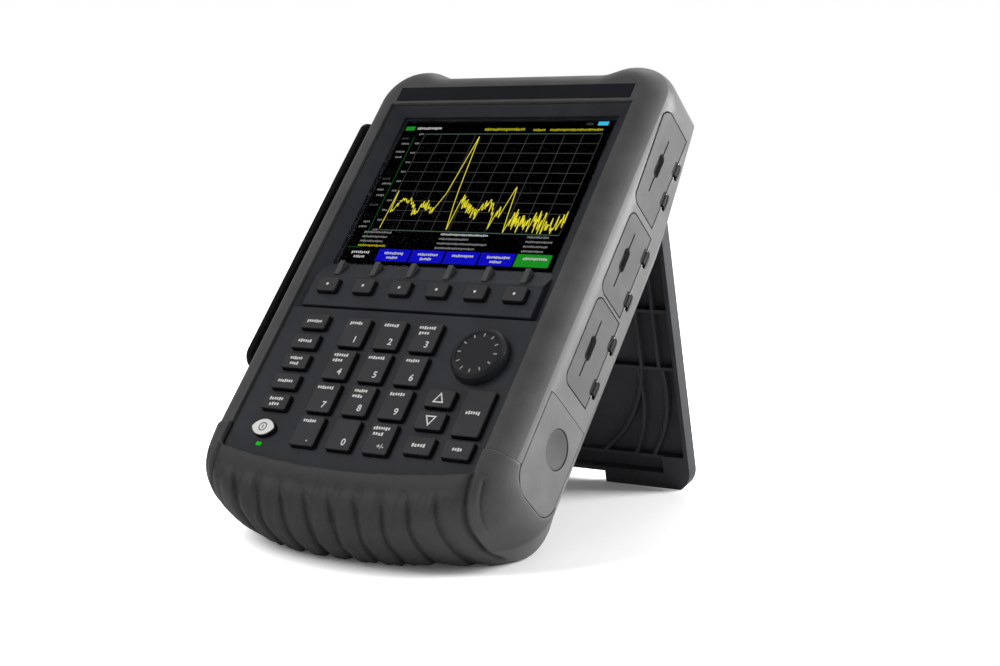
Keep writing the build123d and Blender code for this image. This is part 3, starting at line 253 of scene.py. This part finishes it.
def clear(name, colour):
    """Clear window without a mirror image."""
    material = bpy.data.materials.new(name)
    material.use_nodes = True
    shader = material.node_tree.nodes["Principled BSDF"]
    shader.inputs["Base Color"].default_value = (*colour, 1)
    shader.inputs["Roughness"].default_value = 0.05
    shader.inputs["Transmission Weight"].default_value = 1.0
    shader.inputs["IOR"].default_value = 1.01
    return material


# Painted shade: the hinge notches and the pull recesses on the right side turn black
hollow_painted_shade = ((side_hollow_shade, (0.002, 0.002, 0.002)),)
# Painted shade: the keys' standing walls are darker than their tops
key_wall_shade = ((standing_wall, (0.006, 0.006, 0.007)),)
# Painted shade on the boot: the ribbed front below the lip is darker as it faces down, and the grooves are near black
# by their depth
boot_painted_shade = (
    (kept_on_mesh("chin_shade", 0.0, 1.0), (0.05, 0.05, 0.051)),
    (kept_on_mesh("sunk", 0.5, 1.8), (0.012, 0.012, 0.013)),
)
# Painted shade: the front frame takes a darker copy of the case grey, as its front gets less light
front_frame_shaded_grey = finish_of("front_frame_shaded_moulding", (0.08, 0.08, 0.081), 0.5, 0.2, 1400, shine=0.2)
boot_rubber = finish_of("boot_rubber", (0.066, 0.066, 0.066), 0.5, 0.3, 1100, shine=0.25, layers=boot_painted_shade)
bar_charcoal = finish_of("bar_charcoal", (0.085, 0.086, 0.09), 0.5, 0.1, 2200, shine=0.2)
print_white = finish_of("print_white", (0.8, 0.8, 0.78), 0.5, spread=0.04)
print_grey = finish_of("print_grey", (0.16, 0.16, 0.16), 0.5, spread=0.04)
knob_print = finish_of("knob_print", (0.4, 0.4, 0.39), 0.5, spread=0.04)
strap_cloth = banded("strap_cloth", (0.01, 0.01, 0.011), (0.0013, 0.0013), 0.85)
webbing_cloth = banded("webbing_cloth", (0.009, 0.009, 0.01), (0.0022, 0.0022), 0.85)

# Finish of each slot in the record
slot_finish = {
    "case_grey": finish_of("case_grey_moulding", (0.1, 0.1, 0.1), 0.42, 0.2, 1400, layers=hollow_painted_shade),
    "boot_grey": boot_rubber,
    "panel_charcoal": finish_of("panel_charcoal", (0.029, 0.031, 0.037), 0.5, 0.15, 2200, shine=0.2),
    "strip_black": finish_of("strip_black", (0.009, 0.01, 0.014), 0.4, shine=0.1),
    "window_glass": clear("window_clear", (0.95, 0.95, 0.97)),
    "lens_green": lit("lens_green", (0.012, 0.45, 0.014)),
    "display_dark": finish_of("display_dark", (0.006, 0.006, 0.007), 0.4, shine=0.1),
    "key_charcoal": finish_of(
        "key_charcoal", (0.045, 0.046, 0.049), 0.5, 0.1, 2600, shine=0.15, layers=key_wall_shade
    ),
    "key_white": finish_of("key_white", (0.93, 0.93, 0.91), 0.4, spread=0.03, layers=key_wall_shade),
    "knob_charcoal": finish_of("knob_charcoal", (0.012, 0.013, 0.016), 0.45, 0.1, 2600, shine=0.2),
    "door_grey": finish_of("door_rubber", (0.098, 0.098, 0.098), 0.5, 0.3, 1300, shine=0.12, layers=hollow_painted_shade),
    "battery_door_grey": finish_of("battery_door_grey", (0.115, 0.115, 0.115), 0.48, 0.2, 1400, shine=0.2),
    "button_grey": finish_of("battery_button_grey", (0.065, 0.065, 0.065), 0.5, 0.2, shine=0.2),
    "stand_black": finish_of("stand_black", (0.033, 0.034, 0.037), 0.5, 0.35, 1200, shine=0.2),
    "strap_pad_black": strap_cloth,
    "webbing_black": webbing_cloth,
    "anchor_black": finish_of("anchor_black", (0.012, 0.012, 0.013), 0.5, 0.2, shine=0.2),
    "port_metal": banded("port_metal", (0.45, 0.43, 0.38), (0.00106,), 0.28, metallic=1.0),
    "pin_steel": finish_of("pin_steel", (0.16, 0.16, 0.16), 0.4, metallic=1.0, spread=0.05),
    "screw_steel": finish_of("screw_black", (0.1, 0.1, 0.1), 0.4, metallic=1.0, spread=0.05),
    "socket_black": finish_of("socket_black", (0.015, 0.015, 0.016), 0.45),
    "board_green": finish_of("board_green", (0.02, 0.12, 0.05), 0.4),
    "module_aluminium": finish_of("module_metal", (0.6, 0.6, 0.6), 0.4, metallic=1.0),
    "battery_shell": finish_of("battery_shell", (0.02, 0.02, 0.022), 0.5, 0.2),
    "mat_rubber": finish_of("mat_rubber", (0.015, 0.015, 0.015), 0.6),
}

for entry in frame["record"]["subparts"]:
    node = nodes[entry["node"]]
    node.data.materials.clear()
    node.data.materials.append(slot_finish[entry["material_slot"]])
# The front frame wears the darker copy, as painted shade
nodes["front_frame"].data.materials[0] = front_frame_shaded_grey


# Pieces


def add_piece(name, form, rides, materials, smooth=False):
    """Turns a form in body millimetres into an object in the row frame that rides on a CAD body."""
    bmesh.ops.transform(form, matrix=body_axes, verts=form.verts)
    mesh = bpy.data.meshes.new(name)
    form.to_mesh(mesh)
    form.free()
    for material in materials:
        mesh.materials.append(material)
    if smooth:
        mesh.shade_smooth()
    piece = bpy.data.objects.new(name, mesh)
    bpy.context.collection.objects.link(piece)
    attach(piece, rides)
    return piece


def round_edges(form, edges, offset, segments):
    """Rounds edges by an equal offset on both sides."""
    bmesh.ops.bevel(
        form,
        geom=edges,
        offset=offset,
        offset_type="OFFSET",
        affect="EDGES",
        segments=segments,
        profile=0.5,
        material=-1,
    )


def mark(form, across, up, out, width, height, kind=0, turn=0.0):
    """Flat printed bar that faces the user."""
    place = Matrix.Translation((across, up, out)) @ Matrix.Rotation(turn, 4, "Z")
    place = place @ Matrix.Diagonal((width, height, 1, 1))
    made = bmesh.ops.create_grid(form, x_segments=1, y_segments=1, size=0.5, matrix=place)
    for face in {f for v in made["verts"] for f in v.link_faces}:
        face.material_index = kind


def outline(form, across, up, out, points, share):
    """Flat printed line along a closed run of points round a middle, its inner edge at a share of the outer."""
    edges = []
    for part in (1.0, share):
        edges.append([form.verts.new((across + part * x, up + part * y, out)) for x, y in points])
    for number in range(len(points)):
        after = (number + 1) % len(points)
        form.faces.new((edges[0][number], edges[0][after], edges[1][after], edges[1][number]))


def strokes(form, across, up, out, width, height, seed=0, kind=0):
    """Row of short strokes that reads as small print from a distance."""
    count = max(2, round(width / (0.75 * height)))
    step = width / count
    for number in range(count):
        tall = height if (5 * number + 3 * seed) % 4 == 0 else 0.75 * height
        drop = 0.0 if (number + seed) % 5 else 0.12 * height
        mark(form, across - width / 2 + step * (number + 0.5), up - drop, out, 0.7 * step, tall, kind)


def lettering(form, text, across, up, out, height):
    """Printed number or sign, centred on a point."""
    curve = bpy.data.curves.new("lettering", "FONT")
    curve.body = text
    curve.size = height
    curve.offset = 0.02 * height
    curve.align_x = "CENTER"
    curve.align_y = "CENTER"
    holder = bpy.data.objects.new("lettering", curve)
    bpy.context.collection.objects.link(holder)
    bpy.context.view_layer.update()
    flat = bpy.data.meshes.new_from_object(holder.evaluated_get(bpy.context.evaluated_depsgraph_get()))
    flat.transform(Matrix.Translation((across, up, out)))
    form.from_mesh(flat)
    bpy.data.objects.remove(holder)
    bpy.data.curves.remove(curve)
    bpy.data.meshes.remove(flat)


# Legends on the keys

panel_half, keypad_top = 76.8, 117.0
key_out, softkey_out = 1.34, 1.84
print_height = 1.9
softkey_pitch, softkey_up = 23.2, keypad_top + 14.0
function_across, function_drop, function_pitch = 22.0 - panel_half, 9.4, 12.4
numeric_across, numeric_drop, numeric_pitch, numeric_row = 50.0 - panel_half, 14.6, 22.2, 19.7
power_up = keypad_top - 74.2

for number in range(6):
    form = bmesh.new()
    place = Matrix.Translation(((number - 2.5) * softkey_pitch, softkey_up, softkey_out))
    bmesh.ops.create_circle(form, cap_ends=True, segments=16, radius=0.8, matrix=place)
    add_piece(f"softkey_dot_{number + 1}", form, f"softkey_{number + 1}", [print_white])

for number in range(5):
    form = bmesh.new()
    up = keypad_top - function_drop - number * function_pitch
    lines = (1.6, -1.6) if number in (2, 4) else (0.0,)
    for line, drop in enumerate(lines):
        width = 9.6 - 2.4 * line - 0.8 * (number % 3)
        strokes(form, function_across, up + drop, key_out, width, print_height, number + line)
    add_piece(f"function_legend_{number + 1}", form, f"function_key_{number + 1}", [print_white])

numeric_rows = (("1", "2", "3"), ("4", "5", "6"), ("7", "8", "9"), (".", "0", "+/-"))
numeric_keys = {".": "point_key", "+/-": "sign_key"}
for row, signs in enumerate(numeric_rows):
    for column, sign in enumerate(signs):
        key = numeric_keys.get(sign, f"digit_key_{sign}")
        across = numeric_across + column * numeric_pitch
        up = keypad_top - numeric_drop - row * numeric_row
        form = bmesh.new()
        lettering(form, sign, across + 2.6, up - 4.4, key_out, 5.2 if len(sign) == 1 else 3.6)
        if sign != "0":
            strokes(form, across - 1.0, up + 5.6, key_out, 8.0 + (row + column) % 3, print_height, row + column)
            if (row + 2 * column) % 3 == 1:
                strokes(form, across - 1.8, up + 2.4, key_out, 6.4, print_height, row)
        add_piece(f"{key}_legend", form, key, [print_white])

arrow_across, enter_across = panel_half - 35.4, panel_half - 13.4
for name, drop, sense in (("arrow_up", 48.4, 1), ("arrow_down", 61.0, -1)):
    form = bmesh.new()
    corners = [(-3.3, -2.0 * sense), (3.3, -2.0 * sense), (0.0, 4.0 * sense)]
    outline(form, arrow_across, keypad_top - drop - 0.6 * sense, key_out, corners, 0.62)
    add_piece(f"{name}_legend", form, f"{name}_key", [print_white])
for name, across, drop, width in (
    ("enter", enter_across, 54.7, 8.4),
    ("back", arrow_across, 75.1, 8.0),
    ("escape", enter_across, 75.1, 5.6),
):
    form = bmesh.new()
    strokes(form, across, keypad_top - drop, key_out, width, 2.0, len(name))
    add_piece(f"{name}_legend", form, f"{name}_key", [print_white])
form = bmesh.new()
turns = [2 * math.pi * number / 28 for number in range(28)]
circle = [(2.5 * math.cos(turn), 2.5 * math.sin(turn)) for turn in turns]
outline(form, function_across, power_up, key_out, circle, 0.74)
mark(form, function_across, power_up, key_out, 0.7, 2.0)
add_piece("power_legend", form, "power_key", [print_grey])

# Marks round the knob's dish
knob_across, knob_up, knob_top = panel_half - 23.4, keypad_top - 22.9, 4.04
knob_mark_count, knob_mark_reach = 12, 10.4
form = bmesh.new()
for number in range(knob_mark_count):
    turn = 2 * math.pi * number / knob_mark_count
    across, up = knob_across + knob_mark_reach * math.cos(turn), knob_up + knob_mark_reach * math.sin(turn)
    mark(form, across, up, knob_top, 2.0, 0.7, turn=turn)
add_piece("knob_marks", form, "knob", [knob_print])

# Picture on the display: grid, measured line, header, rows of print and soft labels

window_left, window_right, window_low, window_high = -66.9, 66.9, 151.1, 249.9
screen_left, screen_right, screen_low, screen_high = -66.9, 63.4, 154.2, 249.9
picture_out, layer_step = -8.44, 0.03
screen_finish = [
    lit("screen_black", (0.0, 0.0, 0.0)),
    lit("screen_grid", (0.05, 0.05, 0.05)),
    lit("screen_trace", (0.8, 0.72, 0.03)),
    lit("screen_header", (0.42, 0.37, 0.01)),
    lit("screen_green", (0.01, 0.26, 0.015)),
    lit("screen_blue", (0.004, 0.004, 0.5)),
    lit("screen_white", (0.5, 0.5, 0.5)),
    lit("screen_cyan", (0.05, 0.5, 0.75)),
    lit("screen_line", (0.004, 0.045, 0.008)),
    lit("screen_frame", (0.05, 0.09, 0.06)),
    lit("screen_dim", (0.2, 0.2, 0.2)),
]
black, grid, trace, header, green, blue, white, cyan, line_green, frame_green, dim = range(11)


def on_screen(share_across, share_up):
    """Point of the screen at shares of its width and height."""
    across = screen_left + (screen_right - screen_left) * share_across
    return across, screen_low + (screen_high - screen_low) * share_up


def bar(form, left, right, share_up, height, kind, layer=1):
    """Plain bar between two shares of the screen's width."""
    across, up = on_screen((left + right) / 2, share_up)
    width = (right - left) * (screen_right - screen_left)
    mark(form, across, up, picture_out + layer_step * layer, width, height, kind)


def print_row(form, left, right, share_up, height, kind, seed=0, layer=2):
    """Row of strokes between two shares of the screen's width."""
    across, up = on_screen((left + right) / 2, share_up)
    width = (right - left) * (screen_right - screen_left)
    strokes(form, across, up, picture_out + layer_step * layer, width, height, seed, kind)


form = bmesh.new()
mark(
    form, (window_left + window_right) / 2, (window_low + window_high) / 2, picture_out,
    window_right - window_left, window_high - window_low, black,
)
grid_left, grid_right, grid_low, grid_high = 0.118, 0.985, 0.215, 0.912
grid_tall = (grid_high - grid_low) * (screen_high - screen_low)
for step in range(11):
    share = grid_left + (grid_right - grid_left) * step / 10
    bar(form, share - 0.0013, share + 0.0013, (grid_low + grid_high) / 2, grid_tall, grid)
    share = grid_low + (grid_high - grid_low) * step / 10
    thick, kind = (0.6, frame_green) if step in (0, 10) else (0.35, grid)
    bar(form, grid_left, grid_right, share, thick, kind)
bar(form, 0.066, 0.072, 0.49, 0.8 * (screen_high - screen_low), line_green)
bar(form, 0.0, 0.066, 0.09, 0.6, line_green)

# The measured line: its main points as shares of the grid, with an uneven edge between them
trace_points = (
    (0.0, 0.02), (0.008, 0.4), (0.016, 0.18), (0.06, 0.31), (0.11, 0.3), (0.15, 0.18), (0.2, 0.28), (0.26, 0.22),
    (0.29, 0.38), (0.327, 0.97), (0.35, 0.44), (0.36, 0.28), (0.383, 0.02), (0.392, 0.32), (0.44, 0.26),
    (0.5, 0.17), (0.555, 0.31), (0.6, 0.2), (0.606, 0.04), (0.62, 0.22), (0.642, 0.19), (0.664, 0.44), (0.672, 0.4),
    (0.685, 0.18), (0.697, 0.01), (0.71, 0.14), (0.78, 0.1), (0.86, 0.12), (0.93, 0.09), (1.0, 0.12),
)
trace_step, trace_half, trace_steep = 0.0034, 0.24, 5.0
run = []
for (start, low), (end, high) in zip(trace_points, trace_points[1:]):
    steep = abs(high - low) / (end - start) > trace_steep
    count = max(1, round((end - start) / trace_step))
    for step in range(count):
        share = start + (end - start) * step / count
        spread = 0.03 if share < 0.13 else 0.06 if share < 0.68 else 0.11
        chance = math.sin(12.9898 * len(run)) * 43758.5453
        wobble = 0.0 if steep or step == 0 else spread * (2 * (chance - math.floor(chance)) - 1)
        run.append((share, min(0.97, max(0.01, low + (high - low) * step / count + wobble))))
run.append(trace_points[-1])
line = []
for share, level in run:
    across, up = on_screen(grid_left + (grid_right - grid_left) * share, grid_low + (grid_high - grid_low) * level)
    line.append(Vector((across, up, picture_out + 3 * layer_step)))
for start, end in zip(line, line[1:]):
    side = (end - start).normalized().cross(Vector((0, 0, 1))) * trace_half
    reach = (end - start).normalized() * trace_half / 2
    corners = (start - side - reach, start + side - reach, end + side + reach, end - side + reach)
    face = form.faces.new([form.verts.new(corner) for corner in corners])
    face.material_index = trace

print_row(form, 0.41, 0.61, 0.945, 2.0, header, 1)
print_row(form, 0.65, 0.71, 0.94, 1.7, header, 2)
print_row(form, 0.73, 0.98, 0.94, 1.7, header, 3)
bar(form, 0.004, 0.05, 0.955, 2.8, green)
print_row(form, 0.062, 0.19, 0.955, 1.9, white, 1)
print_row(form, 0.89, 0.925, 0.982, 1.7, grid, 2)
bar(form, 0.945, 0.993, 0.984, 2.6, cyan)
for number in range(11):
    share = grid_high - (grid_high - grid_low) * number / 10
    print_row(form, 0.086, 0.112, share, 1.3, dim, number)
for number, share in enumerate((0.88, 0.84, 0.78, 0.74, 0.58, 0.545, 0.5, 0.46, 0.39, 0.27, 0.235)):
    left = 0.008 + 0.01 * (number % 2)
    print_row(form, left, left + 0.035 + 0.006 * (number % 3), share, 1.4, grid if number % 4 == 0 else dim, number)
for column, (left, right) in enumerate(((0.05, 0.19), (0.435, 0.675), (0.845, 0.97))):
    for row in range(4):
        shorter = 0.012 * ((row + column) % 3) * (4 if column == 1 and row else 1)
        kind = header if row == 3 and column == 0 else white if row == 0 and column == 1 else dim
        print_row(form, left, right - shorter, 0.197 - 0.031 * row, 1.4, kind, row + column)
for number in range(6):
    left, right = number / 6, (number + 1) / 6
    kind = (black, blue, blue, blue, blue, green)[number]
    bar(form, left + 0.004, right - 0.004, 0.043, 8.0, kind)
    print_row(form, left + 0.035, right - 0.04 + 0.004 * number, 0.056, 1.7, white, number, 3)
    if number not in (3, 5):
        print_row(form, left + 0.055, right - 0.055, 0.026, 1.7, white, number + 2, 3)
add_piece("display_picture", form, "chassis", screen_finish)

# Raised wedges on the slope between the window and the softkeys
wedge_up, wedge_out, wedge_front_low = 143.8, -2.9, -1.6
wedge_size = Matrix.Diagonal((3.2, 9.0, 4.6, 1))
form = bmesh.new()
for number in range(6):
    place = Matrix.Translation(((number - 2.5) * softkey_pitch, wedge_up, wedge_out)) @ wedge_size
    made = bmesh.ops.create_cube(form, size=1.0, matrix=place)
    for vert in made["verts"]:
        if vert.co.y < wedge_up and vert.co.z < wedge_out:
            vert.co.z = wedge_front_low
    edges = list(dict.fromkeys(edge for vert in made["verts"] for edge in vert.link_edges))
    round_edges(form, edges, 0.4, 3)
add_piece("softkey_bars", form, "chassis", [bar_charcoal])

# Boot: the solid's own form, its grooves closed, with soft leaning ribs as moulded rubber

corner_groove, edge_groove = 76.8, 83.4
corner_depth, edge_depth, channel_depth, groove_depth = 2.0, 1.2, 0.7, 1.6
inner_grooves = 9
groove_pitch = 2 * corner_groove / (inner_grooves + 1)
rib_top, rib_top_rise, rib_half_span = 12.5, 6.5, 62.0
lip_low, lip_rise = 24.0, 7.0
under_start, under_end = -44.0, -52.0
boot_voxel, closing_reach = 0.0009, 0.0021


def eased(value, start, end):
    """0 before start and 1 after end, smooth between."""
    share = min(1.0, max(0.0, (value - start) / (end - start)))
    return share * share * (3 - 2 * share)


def rib_depth(across, up, out):
    """How far the boot's skin sinks: leaning ribs below a soft channel, and two lines down each corner."""
    lip = lip_low + lip_rise * (across / corner_groove) ** 2
    to_corner, to_edge = abs(abs(across) - corner_groove), abs(abs(across) - edge_groove)
    shown = eased(lip - up, -2.0, 1.0) * eased(out, under_end, under_start)
    line = corner_depth * max(0.0, 1 - to_corner / 2.1) * shown
    reach = eased(up, 6.0, 14.0) * eased(31.0 - up, 0.0, 3.0) * eased(out, -30.0, -12.0)
    edge = edge_depth * max(0.0, 1 - to_edge / 1.5) * reach
    if abs(across) > corner_groove - 1.8:
        return max(line, edge)
    channel = channel_depth * math.exp(-(((lip - up - 9.0) / 4.0) ** 2))
    below = rib_top + rib_top_rise * (across / rib_half_span) ** 2 - up
    fade = eased(below, -2.0, 8.0)
    lean_right = 0.4 * (1 - max(0.0, across) / 130.0) * max(0.0, below)
    cycle = (across - lean_right) / groove_pitch
    if abs(round(cycle)) > inner_grooves // 2:
        return max(line, channel)
    beside = (cycle - round(cycle)) * groove_pitch
    groove = eased(beside, -1.3, 0.0) if beside < 0 else max(0.0, 1 - beside / (1.5 + 4.0 * fade))
    return max(line, channel + groove_depth * fade * groove)


form = bmesh.new()
form.from_mesh(nodes["bottom_boot"].data)
bmesh.ops.remove_doubles(form, verts=form.verts, dist=1e-6)
rough_mesh = bpy.data.meshes.new("boot_rough")
form.to_mesh(rough_mesh)
form.free()
rough = bpy.data.objects.new("boot_rough", rough_mesh)
bpy.context.collection.objects.link(rough)
for step, reach in enumerate((closing_reach, -closing_reach)):
    skin = rough.modifiers.new(f"skin_{step}", "REMESH")
    skin.mode = "VOXEL"
    skin.voxel_size = boot_voxel
    swell = rough.modifiers.new(f"swell_{step}", "DISPLACE")
    swell.mid_level = 0.0
    swell.strength = reach
ease = rough.modifiers.new("ease", "SMOOTH")
ease.factor = 0.5
ease.iterations = 6
bpy.context.view_layer.update()
boot_mesh = bpy.data.meshes.new_from_object(rough.evaluated_get(bpy.context.evaluated_depsgraph_get()))
bpy.data.objects.remove(rough)
bpy.data.meshes.remove(rough_mesh)
form = bmesh.new()
form.from_mesh(boot_mesh)
bpy.data.meshes.remove(boot_mesh)
bmesh.ops.transform(form, matrix=body_axes.inverted(), verts=form.verts)
form.normal_update()
# The sink depth is also kept on the mesh for the painted shade in the grooves
sunk = form.verts.layers.float.new("sunk")
chin_shade = form.verts.layers.float.new("chin_shade")
sinks = []
for vert in form.verts:
    outward = vert.co - Vector((0.8 * vert.co.x, 30.0, -35.0))
    depth = rib_depth(*vert.co) if outward.dot(vert.normal) > 0 else 0.0
    vert[sunk] = depth
    # Share of painted shade on the ribbed front, inside the corner lines and above the underside
    vert[chin_shade] = eased(corner_groove + 0.6 - abs(vert.co.x), 0.0, 1.2) * eased(vert.co.z, under_end, under_start)
    sinks.append(vert.normal * -depth)
for vert, sink in zip(form.verts, sinks):
    vert.co += sink
for _ in range(2):
    bmesh.ops.smooth_vert(form, verts=form.verts, factor=0.5, use_axis_x=True, use_axis_y=True, use_axis_z=True)
boot = add_piece("boot_skin", form, "chassis", [boot_rubber], smooth=True)
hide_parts("bottom_boot")

# Hand strap: padded sleeve and the webbing that it sits on
form = bmesh.new()
sleeve_place = Matrix.Translation((-107.5, 177.0, -34.5)) @ Matrix.Diagonal((4.2, 169.2, 33.4, 1))
bmesh.ops.create_cube(form, size=1.0, matrix=sleeve_place)
corner_edges = [e for e in form.edges if abs(e.verts[0].co.x - e.verts[1].co.x) > 1]
round_edges(form, corner_edges, 7.6, 6)
broad = [f for f in form.faces if abs(f.normal.x) > 0.9]
rim_edges = [e for f in broad for e in f.edges]
round_edges(form, rim_edges, 1.5, 3)
outer = [f for f in form.faces if abs(f.normal.x) > 0.99 and f.calc_area() > 1000]
bmesh.ops.inset_individual(form, faces=outer, thickness=2.0, depth=0.0)
bmesh.ops.inset_individual(form, faces=outer, thickness=0.5, depth=-0.45)
bmesh.ops.inset_individual(form, faces=outer, thickness=0.5, depth=0.4)
bmesh.ops.recalc_face_normals(form, faces=form.faces)
pad = add_piece("strap_sleeve", form, "chassis", [strap_cloth], smooth=True)
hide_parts("strap_pad")

webbing_low, webbing_width, webbing_thick = -37.5, 15.5, 1.8
form = bmesh.new()
run = [(-97.2, 28.0), (-97.2, 80.0), (-104.1, 98.0), (-104.1, 256.0), (-96.8, 259.0), (-96.8, 277.0)]
start = [form.verts.new((across, up, webbing_low)) for across, up in run]
chain = [form.edges.new(pair) for pair in zip(start, start[1:])]
drawn = bmesh.ops.extrude_edge_only(form, edges=chain)
lifted = [v for v in drawn["geom"] if isinstance(v, bmesh.types.BMVert)]
bmesh.ops.translate(form, verts=lifted, vec=(0, 0, webbing_width))
folds = [e for e in form.edges if len(e.link_faces) == 2]
round_edges(form, folds, 1.8, 4)
bmesh.ops.recalc_face_normals(form, faces=form.faces)
bmesh.ops.translate(form, verts=form.verts, vec=(webbing_thick / 2, 0, 0))
bmesh.ops.solidify(form, geom=form.faces, thickness=webbing_thick)
webbing = add_piece("strap_band", form, "chassis", [webbing_cloth])
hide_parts("strap_webbing")


# Floor, light and camera

floor_mesh = bpy.data.meshes.new("floor")
floor_form = bmesh.new()
bmesh.ops.create_grid(floor_form, x_segments=1, y_segments=1, size=4.0)
floor_form.to_mesh(floor_mesh)
floor_form.free()
floor = bpy.data.objects.new("floor", floor_mesh)
bpy.context.collection.objects.link(floor)
floor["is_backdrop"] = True
floor_white = bpy.data.materials.new("floor_white")
floor_white.use_nodes = True
floor_shader = floor_white.node_tree.nodes["Principled BSDF"]
floor_shader.inputs["Base Color"].default_value = (0.95, 0.95, 0.95, 1)
floor_shader.inputs["Roughness"].default_value = 0.9
floor_shader.inputs["Specular IOR Level"].default_value = 0.0
floor_mesh.materials.append(floor_white)

# Seen by the camera, the floor turns to plain white away from the object
floor_tree = floor_white.node_tree
floor_place = floor_tree.nodes.new("ShaderNodeTexCoord")
floor_path = floor_tree.nodes.new("ShaderNodeLightPath")
footprint = floor_tree.nodes.new("ShaderNodeMapping")
footprint.inputs["Location"].default_value = (-0.13, -0.64, 0)
footprint.inputs["Scale"].default_value = (8.7, 8.0, 1.0)
floor_tree.links.new(floor_place.outputs["Object"], footprint.inputs["Vector"])
distance = floor_tree.nodes.new("ShaderNodeVectorMath")
distance.operation = "LENGTH"
floor_tree.links.new(footprint.outputs["Vector"], distance.inputs[0])
whitened = floor_tree.nodes.new("ShaderNodeMapRange")
whitened.interpolation_type = "SMOOTHSTEP"
whitened.inputs["From Min"].default_value = 0.93
whitened.inputs["From Max"].default_value = 1.2
whitened.inputs["To Min"].default_value = 0.04
whitened.inputs["To Max"].default_value = 1.0
floor_tree.links.new(distance.outputs["Value"], whitened.inputs["Value"])
seen = math_node(floor_tree, "MULTIPLY", whitened.outputs["Result"], floor_path.outputs["Is Camera Ray"])
floor_shader.inputs["Emission Color"].default_value = (1, 1, 1, 1)
floor_tree.links.new(seen, floor_shader.inputs["Emission Strength"])

# White backdrop; mirror images see it bright behind the object and dim in front
world = bpy.data.worlds.new("studio")
bpy.context.scene.world = world
world.use_nodes = True
sky = world.node_tree
backdrop = sky.nodes["Background"]
backdrop.inputs["Color"].default_value = (1, 1, 1, 1)
path = sky.nodes.new("ShaderNodeLightPath")
facing = sky.nodes.new("ShaderNodeTexCoord")
behind = sky.nodes.new("ShaderNodeVectorMath")
behind.operation = "DOT_PRODUCT"
behind.inputs[1].default_value = (0.5, 0.86, 0.1)
sky.links.new(facing.outputs["Generated"], behind.inputs[0])
mirrored = sky.nodes.new("ShaderNodeMapRange")
mirrored.inputs["From Min"].default_value = -0.4
mirrored.inputs["From Max"].default_value = 0.6
mirrored.inputs["To Min"].default_value = 0.12
mirrored.inputs["To Max"].default_value = 1.0
sky.links.new(behind.outputs["Value"], mirrored.inputs["Value"])
soft = math_node(sky, "MULTIPLY", math_node(sky, "SUBTRACT", 1.0, path.outputs["Is Glossy Ray"]), 0.4)
glossy = math_node(sky, "MULTIPLY", mirrored.outputs["Result"], path.outputs["Is Glossy Ray"])
strength = math_node(sky, "MAXIMUM", math_node(sky, "ADD", soft, glossy), path.outputs["Is Camera Ray"])
sky.links.new(strength, backdrop.inputs["Strength"])


def softbox(name, place, aim, size, power):
    """Square area lamp that faces a point."""
    lamp = bpy.data.lights.new(name, "AREA")
    lamp.size = size
    lamp.energy = power
    stand = bpy.data.objects.new(name, lamp)
    bpy.context.collection.objects.link(stand)
    stand.location = place
    stand.rotation_euler = (Vector(aim) - Vector(place)).to_track_quat("-Z", "Y").to_euler()


softbox("front_light", (-0.75, -0.75, 1.15), (0, 0.05, 0.1), 0.8, 6.0)
softbox("right_light", (1.0, 0.85, 0.55), (0.05, 0.08, 0.12), 0.7, 28.0)
softbox("top_light", (-0.35, 0.95, 1.3), (0, 0.08, 0.15), 0.6, 5.0)

camera_data = bpy.data.cameras.new("camera")
camera_data.lens = 65.6136
camera_data.sensor_width = 36.0
camera = bpy.data.objects.new("camera", camera_data)
bpy.context.collection.objects.link(camera)
camera.matrix_world = Matrix(
    (
        (0.8356738, -0.0570799, 0.5462520, 0.5385622),
        (0.5491732, 0.1006386, -0.8296268, -0.7080075),
        (-0.0076191, 0.9932843, 0.1154478, 0.2090176),
        (0, 0, 0, 1),
    )
)
bpy.context.scene.camera = camera
bpy.context.scene.view_settings.view_transform = "Standard"

low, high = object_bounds()
